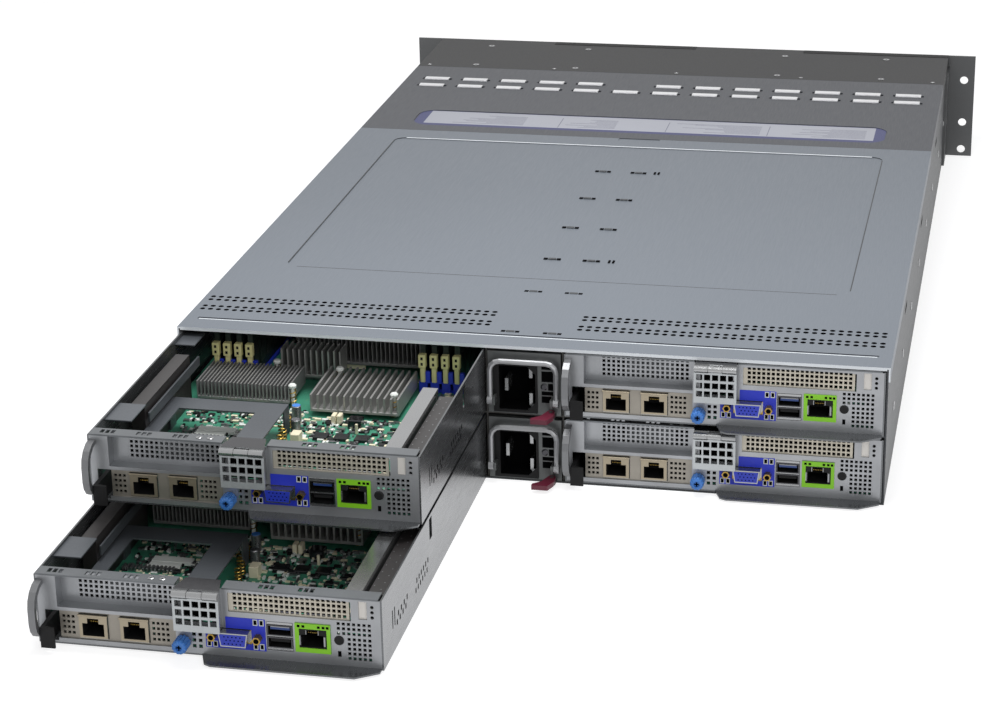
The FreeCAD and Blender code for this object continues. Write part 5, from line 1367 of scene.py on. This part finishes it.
        meshes += [tube(BRASS, self.coil(s, y, base + 0.4, rise, 1.8, 40), 0.45)
                   for s, y in ((83.5, -96.0), (87.0, -88.0), (88.0, -78.0), (84.0, -108.0))]
        return joined("board parts", meshes)

    def riser_card(self) -> Mesh:
        """The parts on the network card under the bridge frame, and the comb behind it.

        Returns:
            All of them.
        """
        generator = random.Random(11)
        card, board = self.card, self.board
        chips = [(38.0, 52.0, -62.0, -48.0, card, card + 2.2),
                 (20.0, 27.0, -72.0, -66.0, card, card + 1.4)]
        small = []
        for _ in range(150):
            s, y = generator.uniform(17.0, 80.0), generator.uniform(-76.0, -24.0)
            a, b = generator.choice(((1.0, 0.5), (0.5, 1.0), (1.8, 1.0)))
            small.append((s - a, s + a, y - b, y + b, card, card + 0.1 + b))
        strips = [(31.5, 55.0, -100.0, -93.5, board, board + 2.0),
                  (31.5, 50.0, -92.6, -88.0, board, board + 1.8)]
        comb = [(18.0 + k * 2.4, 19.3 + k * 2.4, -86.5, -81.0, board, board + 2.8) for k in range(13)]
        return joined("riser card parts", [self.blocks(BLACK_GLOSS, chips, 0.2), self.blocks(CREAM, small),
                                           self.blocks(WHITE_PRINT, strips, 0.1), self.blocks(SOLDER, comb, 0.1)])

    def side_fittings(self) -> Mesh:
        """Tabs, a bracket edge, socket contacts and rows of small holes along the tray's walls, drawn as dark patches
        of painted shade.

        Returns:
            All of them.
        """
        wall = self.width
        dots = []
        for count, start, pitch, half, low, rise in ((12, -72.0, 2.6, 0.8, 10.0, 5.0), (8, -30.0, 3.2, 0.9, 12.0, 4.0)):
            for index in range(count):
                y, z = start - index * pitch, low + rise * (index % 2)
                dots.append((wall - 0.05, wall + 0.05, y - half, y + half, z, z + 3.0))
        tabs = [(1.0, 17.0, -51.0, -26.0, 38.2, 39.2), (1.0, 13.5, -171.0, -150.0, 37.0, 38.0)]
        contacts = [(s, s + 0.6, -94.0 + k * 4.2, -93.0 + k * 4.2, 36.02, 36.12)
                    for k, s in enumerate((181.0, 185.6) * 9)]
        return joined("side fittings", [self.blocks(PAINTED_SHADE, dots), self.blocks(BRIDGE, tabs, 0.2),
                                        self.blocks(BRIDGE, [(15.0, 16.2, -150.0, -58.0, 25.0, 31.0)], 0.2),
                                        self.blocks(SOLDER, contacts)])

    def choose_board(self, origin: Vector) -> Chooser:
        """Which finish each face of a board node has.

        Args:
            origin: the sled's own zero in the world.

        Returns:
            A chooser among board, shield, black, memory modules darkened as painted shade, blue, rail and brass.
        """
        jack = (self.jack_height, 8.1, 6.2)
        ports = [(middle, self.jack_low, *jack) for middle in self.jack_middles]
        ports += [(self.admin, self.admin_low, *jack), (self.usb, self.usb_low, self.usb_height, 7.1, 6.3)]

        def choose(c: Vector, n: Vector) -> Finish:
            """The finish of one face.

            Args:
                c: the face's middle.
                n: its normal.

            Returns:
                Its finish.
            """
            local = (c - origin) / MM
            s, y, z = self.width / 2 - local.x, local.y, local.z
            if z < self.board + 0.01:
                return BOARD
            if y < self.memory_rows[0] + 1.0:
                # Module boards above the socket get the painted shade.
                return BLUE_PORT if z < self.board + 2.1 else SHADED_MEMORY
            if s < self.rail_left or s > self.rail_right:
                return RAIL
            if y > -22.0:
                for middle, low, height, half, hollow in ports:
                    if abs(s - middle) < half and low - 0.1 < z < low + height + 0.1:
                        inside = abs(s - middle) < hollow and low + 1.0 < z < low + height - 0.6 and y < -0.1
                        return BLACK if inside else BRIGHT
                if 96.0 < s < 127.0:
                    return BLACK if y <= -1.4 else BRASS if abs(s - self.display) > 9.4 else BRIGHT
            return BOARD
        return choose

    def dress_nodes(self, name: str) -> None:
        """Gives a sled's CAD nodes their finishes.

        Args:
            name: which sled it is.
        """
        origin = self.origin(name)
        inner = (self.width / 2 - 3.0) * MM
        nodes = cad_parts

        def tray(c: Vector, n: Vector) -> Finish:
            """Tray sheet, or the bridge frame that stands in it."""
            local = c - origin
            return BRIDGE if local.z > self.board * MM and abs(local.x) < inner else TRAY

        def flap(c: Vector, n: Vector) -> Finish:
            """The flap's sheet, or its bright knuckles."""
            return BRIGHT if (c.z - origin.z) / MM > 36.6 else FLAP

        finish_faces(nodes[f"sled_{name}_main_board"].data, (BOARD, BRIGHT, BLACK, SHADED_MEMORY, BLUE_PORT, RAIL, BRASS),
                     self.choose_board(origin))
        finish_faces(nodes[f"sled_{name}_tray"].data, (TRAY, BRIDGE), tray)
        finish_faces(nodes[f"sled_{name}_flap"].data, (FLAP, BRIGHT), flap)
        coat(f"sled_{name}_release_lever", BLACK)

    def build(self) -> None:
        """Draws the sled's pieces once and places them in all four sleds."""
        parts = [("panel_sheet", self.panel(), "panel_steel", ("panel",)),
                 ("display_paint", self.display_paint(), "blue_plastic", ()),
                 ("display_face", self.display_face(), "blue_plastic", ()),
                 ("jack_contacts", self.jack_contacts(), "panel_steel", ()),
                 ("jack_shields", self.jack_shields(), "panel_steel", ()),
                 ("grid_backings", self.backings(), "panel_steel", ()),
                 ("admin_frame", self.admin_frame(), "panel_steel", ()),
                 ("usb_tongues", self.usb_tongues(), "black_plastic", ()),
                 ("panel_fittings", self.panel_fittings(), "panel_steel", ()),
                 ("fin_blocks", self.heat_sinks(), "heat_sink", ("heatsinks",)),
                 ("memory_fittings", self.memory(), "black_plastic", ()),
                 ("board_parts", self.board_parts(), "black_plastic", ()),
                 ("card_parts", self.riser_card(), "black_plastic", ()),
                 ("side_fittings", self.side_fittings(), "panel_steel", ())]
        knob = self.thumbscrew()
        for name in ("upper_left", "lower_left", "upper_right", "lower_right"):
            origin = self.origin(name)
            for label, mesh, slot, nodes in parts:
                place(f"sled_{name}_{label}", mesh, f"sled_{name}", slot, origin,
                      [f"sled_{name}_{node}" for node in nodes])
            place(f"sled_{name}_knob", knob, f"thumbscrew_{name}", "blue_plastic", origin, [f"sled_{name}_thumbscrew"])
            self.dress_nodes(name)


# ---------------------------------------------------------------- power supplies
@dataclass
class Supply:
    """One power supply's face: inlet surround, vent slots and lamp, and the finishes of its case, bail and latch."""

    face_behind_handle: float = 7.5
    inlet_x: float = 4.3
    inlet_z: float = 17.0
    half_width: float = 11.25
    half_height: float = 14.25
    chamfer: float = 5.0
    rim: tuple[Point2, Point2] = ((1.2, 3.4), (1.8, 2.2))
    rim_depth: float = 1.0
    blades: Point2 = (9.4, 13.2)
    inlet_depth: float = 15.9
    vents: tuple[Point2, ...] = ((29.6, 33.4), (21.6, 28.4), (13.0, 15.4), (8.0, 12.2))
    vent_sides: Point2 = (-18.4, -10.6)
    lamp: Point2 = (-12.2, 18.4)

    def origin(self, name: str) -> Vector:
        """The world place of a supply's middle, panel face and underside."""
        low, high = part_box(f"psu_{name}_case")
        return Vector(((low.x + high.x) / 2, high.y - self.face_behind_handle * MM, low.z))

    def face(self) -> Mesh:
        """Black inlet surround, vent slots as dark boxes of painted shade, and lamp.

        Returns:
            The face of one supply.
        """
        x0, x1 = self.inlet_x - self.half_width, self.inlet_x + self.half_width
        z0, z1 = self.inlet_z - self.half_height, self.inlet_z + self.half_height
        (left, right), (under, over) = self.rim
        hole = [(x0, z0 + self.chamfer), (x0 + self.chamfer, z0), (x1, z0), (x1, z1), (x0 + self.chamfer, z1),
                (x0, z1 - self.chamfer)]

        def lift(x: float, z: float, h: float) -> Place:
            """Lays the surround on the supply's panel."""
            return (x, 0.05 + h, z)

        slots = [(*self.vent_sides, 0.0, 0.12, low, high) for low, high in self.vents]
        slots.append((self.vent_sides[0], -14.6, 0.0, 0.12, 16.2, 20.6))
        lamp = (self.lamp[0], 0.0, self.lamp[1])
        return joined("supply face", [
            plate(BLACK, rectangle(x0 - left, x1 + right, z0 - under, z1 + over), [hole], lift, self.rim_depth),
            boxes(PAINTED_SHADE, slots), turned(DARK_CHROME, ((0.0, 2.2), (0.4, 2.2), (0.6, 1.4)), lamp, Axis.Y, 14)])

    def choose_case(self, origin: Vector) -> Chooser:
        """Which finish each face of a case has.

        Args:
            origin: the supply's own zero in the world.

        Returns:
            A chooser among case sheet, the inlet's inside, black moulding drawn near black with painted shade, and its
            bright blades.
        """
        def choose(c: Vector, n: Vector) -> Finish:
            """The finish of one face.

            Args:
                c: the face's middle.
                n: its normal.

            Returns:
                Its finish.
            """
            local = (c - origin) / MM
            across, up = abs(local.x - self.inlet_x), abs(local.z - self.inlet_z)
            if across >= self.half_width + 0.1 or up >= self.half_height + 0.1:
                return CASE
            if not -self.inlet_depth - 0.2 < local.y < -0.05:
                return CASE
            on_wall = across > self.blades[0] or up > self.blades[1] or local.y < -self.inlet_depth
            return PAINTED_SHADE if on_wall else BRIGHT
        return choose

    def build(self) -> None:
        """Places the face on both supplies and gives their nodes their finishes."""
        face = self.face()
        for name in ("lower", "upper"):
            origin = self.origin(name)
            place(f"psu_{name}_face", face, f"power_supply_{name}", "black_plastic", origin)
            finish_faces(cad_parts[f"psu_{name}_case"].data, (CASE, PAINTED_SHADE, BRIGHT), self.choose_case(origin))
            coat(f"psu_{name}_bail", WIRE)
            coat(f"psu_{name}_latch", BURGUNDY)


# ---------------------------------------------------------------- drives, fans and chassis
@dataclass
class Front:
    """The drive carriers: vent field, latch button and lamps on each."""

    vent_columns: int = 14
    vent_rows: int = 4
    vent_first: Point2 = (12.0, 6.6)
    vent_pitch: Point2 = (5.2, 4.5)
    vent_radius: float = 1.5
    lamp_ends: Point2 = (6.0, 4.0)
    lamp_rows: Point2 = (0.3, 0.6)
    button_ends: Point2 = (14.0, 8.5)
    button_rows: Point2 = (0.28, 0.72)
    bezel: float = 12.5

    def carrier(self, name: str) -> None:
        """Dresses one carrier.

        Args:
            name: the drive's node, which is also its body.
        """
        low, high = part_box(name)
        front, left, right, foot = low.y / MM, low.x / MM, high.x / MM, low.z / MM
        height = (high.z - low.z) / MM
        # The vent holes are dark discs of painted shade on the carrier's face.
        vents = Pattern.grow(Shape.PRISM, PAINTED_SHADE, (left + self.vent_first[0], front - 0.02, foot + self.vent_first[1]),
                             (self.vent_pitch[0], 0, 0), (0, 0, self.vent_pitch[1]), self.vent_columns,
                             self.vent_rows, (self.vent_radius, 0, 0.06), 6, Facing.ALONG_Y.value)
        lamps = [(right - self.lamp_ends[0], right - self.lamp_ends[1], front - 0.3, front + 0.1, z, z + 1.4)
                 for z in (foot + height * row for row in self.lamp_rows)]
        button = (right - self.button_ends[0], right - self.button_ends[1], front - 0.8, front + 0.2,
                  foot + height * self.button_rows[0], foot + height * self.button_rows[1])
        place(name + "_face", joined(name + " face", [vents, boxes(LED, lamps), boxes(BURGUNDY, [button], 0.3)]),
              name, "drive_metal")
        finish_faces(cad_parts[name].data, (BLACK, CASE),
                     lambda c, n: CASE if c.y / MM > front + self.bezel else BLACK)

    def build(self) -> None:
        """Dresses the twelve carriers."""
        for column in range(1, 5):
            for row in "abc":
                self.carrier(f"drive_{column}{row}")


class Chassis:
    """Finishes of the housing, cages, boards and fans."""

    plain: dict[str, Finish] = {
        "psu_cage": INNER_WALL, "drive_cage": FRONT_PLATE, "rack_ear_left": EAR, "rack_ear_right": EAR,
        "drive_backplane": BOARD, "power_board": BOARD, "fan_frames": BLACK,
        "fan_rotor_1": BLACK, "fan_rotor_2": BLACK, "fan_rotor_3": BLACK, "fan_rotor_4": BLACK}

    def build(self) -> None:
        """Gives each remaining CAD node its finish."""
        for name, finish in self.plain.items():
            coat(name, finish)
        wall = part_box("chassis_tub")[1].x - 0.5 * MM

        def tub(c: Vector, n: Vector) -> Finish:
            """Outer sheet, or the darker floor and walls inside."""
            return INNER_WALL if abs(c.x) < wall and (n.z > 0.5 or abs(n.x) > 0.5) else CHASSIS

        finish_faces(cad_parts["chassis_tub"].data, (CHASSIS, INNER_WALL), tub)


# ---------------------------------------------------------------- studio
@dataclass(frozen=True)
class Lamp:
    """One soft square lamp, with its place and aim in metres and its power in watts."""

    name: str
    spot: Place
    aim: Place
    size: float
    power: float

    def hang(self) -> None:
        """Puts the lamp in the scene."""
        data = bpy.data.lights.new(self.name, "AREA")
        data.shape = "RECTANGLE"
        data.size = data.size_y = self.size
        data.energy = self.power
        lamp = bpy.data.objects.new(self.name, data)
        bpy.context.scene.collection.objects.link(lamp)
        lamp.location = self.spot
        lamp.rotation_euler = (Vector(self.aim) - Vector(self.spot)).to_track_quat("-Z", "Y").to_euler()


@dataclass
class Studio:
    """A plain pale floor, soft lights and the camera."""

    lens: float = 91.55
    sensor: float = 36.0
    where: Place = (-0.2929, 1.7700, 0.6410)
    tilt: Place = (68.784, 1.05, 191.882)
    clip: Point2 = (0.05, 50.0)
    floor_size: float = 12.0
    floor_colour: Colour = (176, 176, 178)
    floor_lift: float = 0.78
    sky: float = 0.34
    lamps: tuple[Lamp, Lamp] = (Lamp("key", (0.0, 0.33, 0.78), (0.0, 0.27, 0.05), 0.42, 6.4),
                                Lamp("fill", (-1.2, 2.2, 1.2), (0.0, 0.3, 0.05), 1.4, 17.0))

    @staticmethod
    def seen(tree: Tree) -> Socket:
        """Rays that show the white surround: the camera's own, and those off metal or through glass.

        Args:
            tree: node tree of the floor or the world.

        Returns:
            A value of 1 for those rays, and of 0 for all others.
        """
        rays = tree.nodes.new("ShaderNodeLightPath").outputs
        mirrored = reckoned(tree, "MAXIMUM", rays["Is Camera Ray"], rays["Is Glossy Ray"])
        return reckoned(tree, "MAXIMUM", mirrored, rays["Is Transmission Ray"])

    def lay_floor(self) -> None:
        """A pale floor under the chassis."""
        bpy.ops.mesh.primitive_plane_add(size=self.floor_size, location=(0, 0, 0))
        sheet = bpy.context.object
        sheet.name = "floor"
        material = bpy.data.materials.new("floor paper")
        material.use_nodes = True
        tree = material.node_tree
        shader = tree.nodes["Principled BSDF"]
        shader.inputs["Base Color"].default_value = linear(self.floor_colour)
        shader.inputs["Roughness"].default_value = 0.9
        shader.inputs["Emission Color"].default_value = WHITE
        glow = reckoned(tree, "MULTIPLY", self.seen(tree), self.floor_lift)
        tree.links.new(glow, shader.inputs["Emission Strength"])
        sheet.data.materials.append(material)

    def hang_sky(self) -> None:
        """A white surround to look at, and a softer one for the light."""
        world = bpy.data.worlds.new("studio")
        bpy.context.scene.world = world
        world.use_nodes = True
        tree = world.node_tree
        back = tree.nodes["Background"]
        level = node(tree, "ShaderNodeMapRange", Value=self.seen(tree), To_Min=self.sky, To_Max=1.0)
        tree.links.new(level.outputs["Result"], back.inputs["Strength"])
        back.inputs["Color"].default_value = WHITE

    def stand_camera(self) -> None:
        """The camera behind and above the left rear corner."""
        data = bpy.data.cameras.new("camera")
        data.lens = self.lens
        data.sensor_width = self.sensor
        data.clip_start, data.clip_end = self.clip
        camera = bpy.data.objects.new("camera", data)
        bpy.context.scene.collection.objects.link(camera)
        camera.location = self.where
        camera.rotation_euler = Euler([math.radians(a) for a in self.tilt], "XYZ")
        bpy.context.scene.camera = camera

    def build(self) -> None:
        """Builds floor, lamps, surround and camera."""
        bpy.context.scene.view_settings.view_transform = "Standard"
        self.lay_floor()
        for lamp in self.lamps:
            lamp.hang()
        self.hang_sky()
        self.stand_camera()


def main() -> None:
    """Builds every sub-assembly in order."""
    logging.basicConfig(level=logging.INFO, format="%(message)s")
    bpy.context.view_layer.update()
    for part in (Chassis(), Covers(), Sled(), Supply(), Front(), Studio()):
        log.info("building %s", type(part).__name__)
        part.build()


if __name__ == "__main__":
    main()
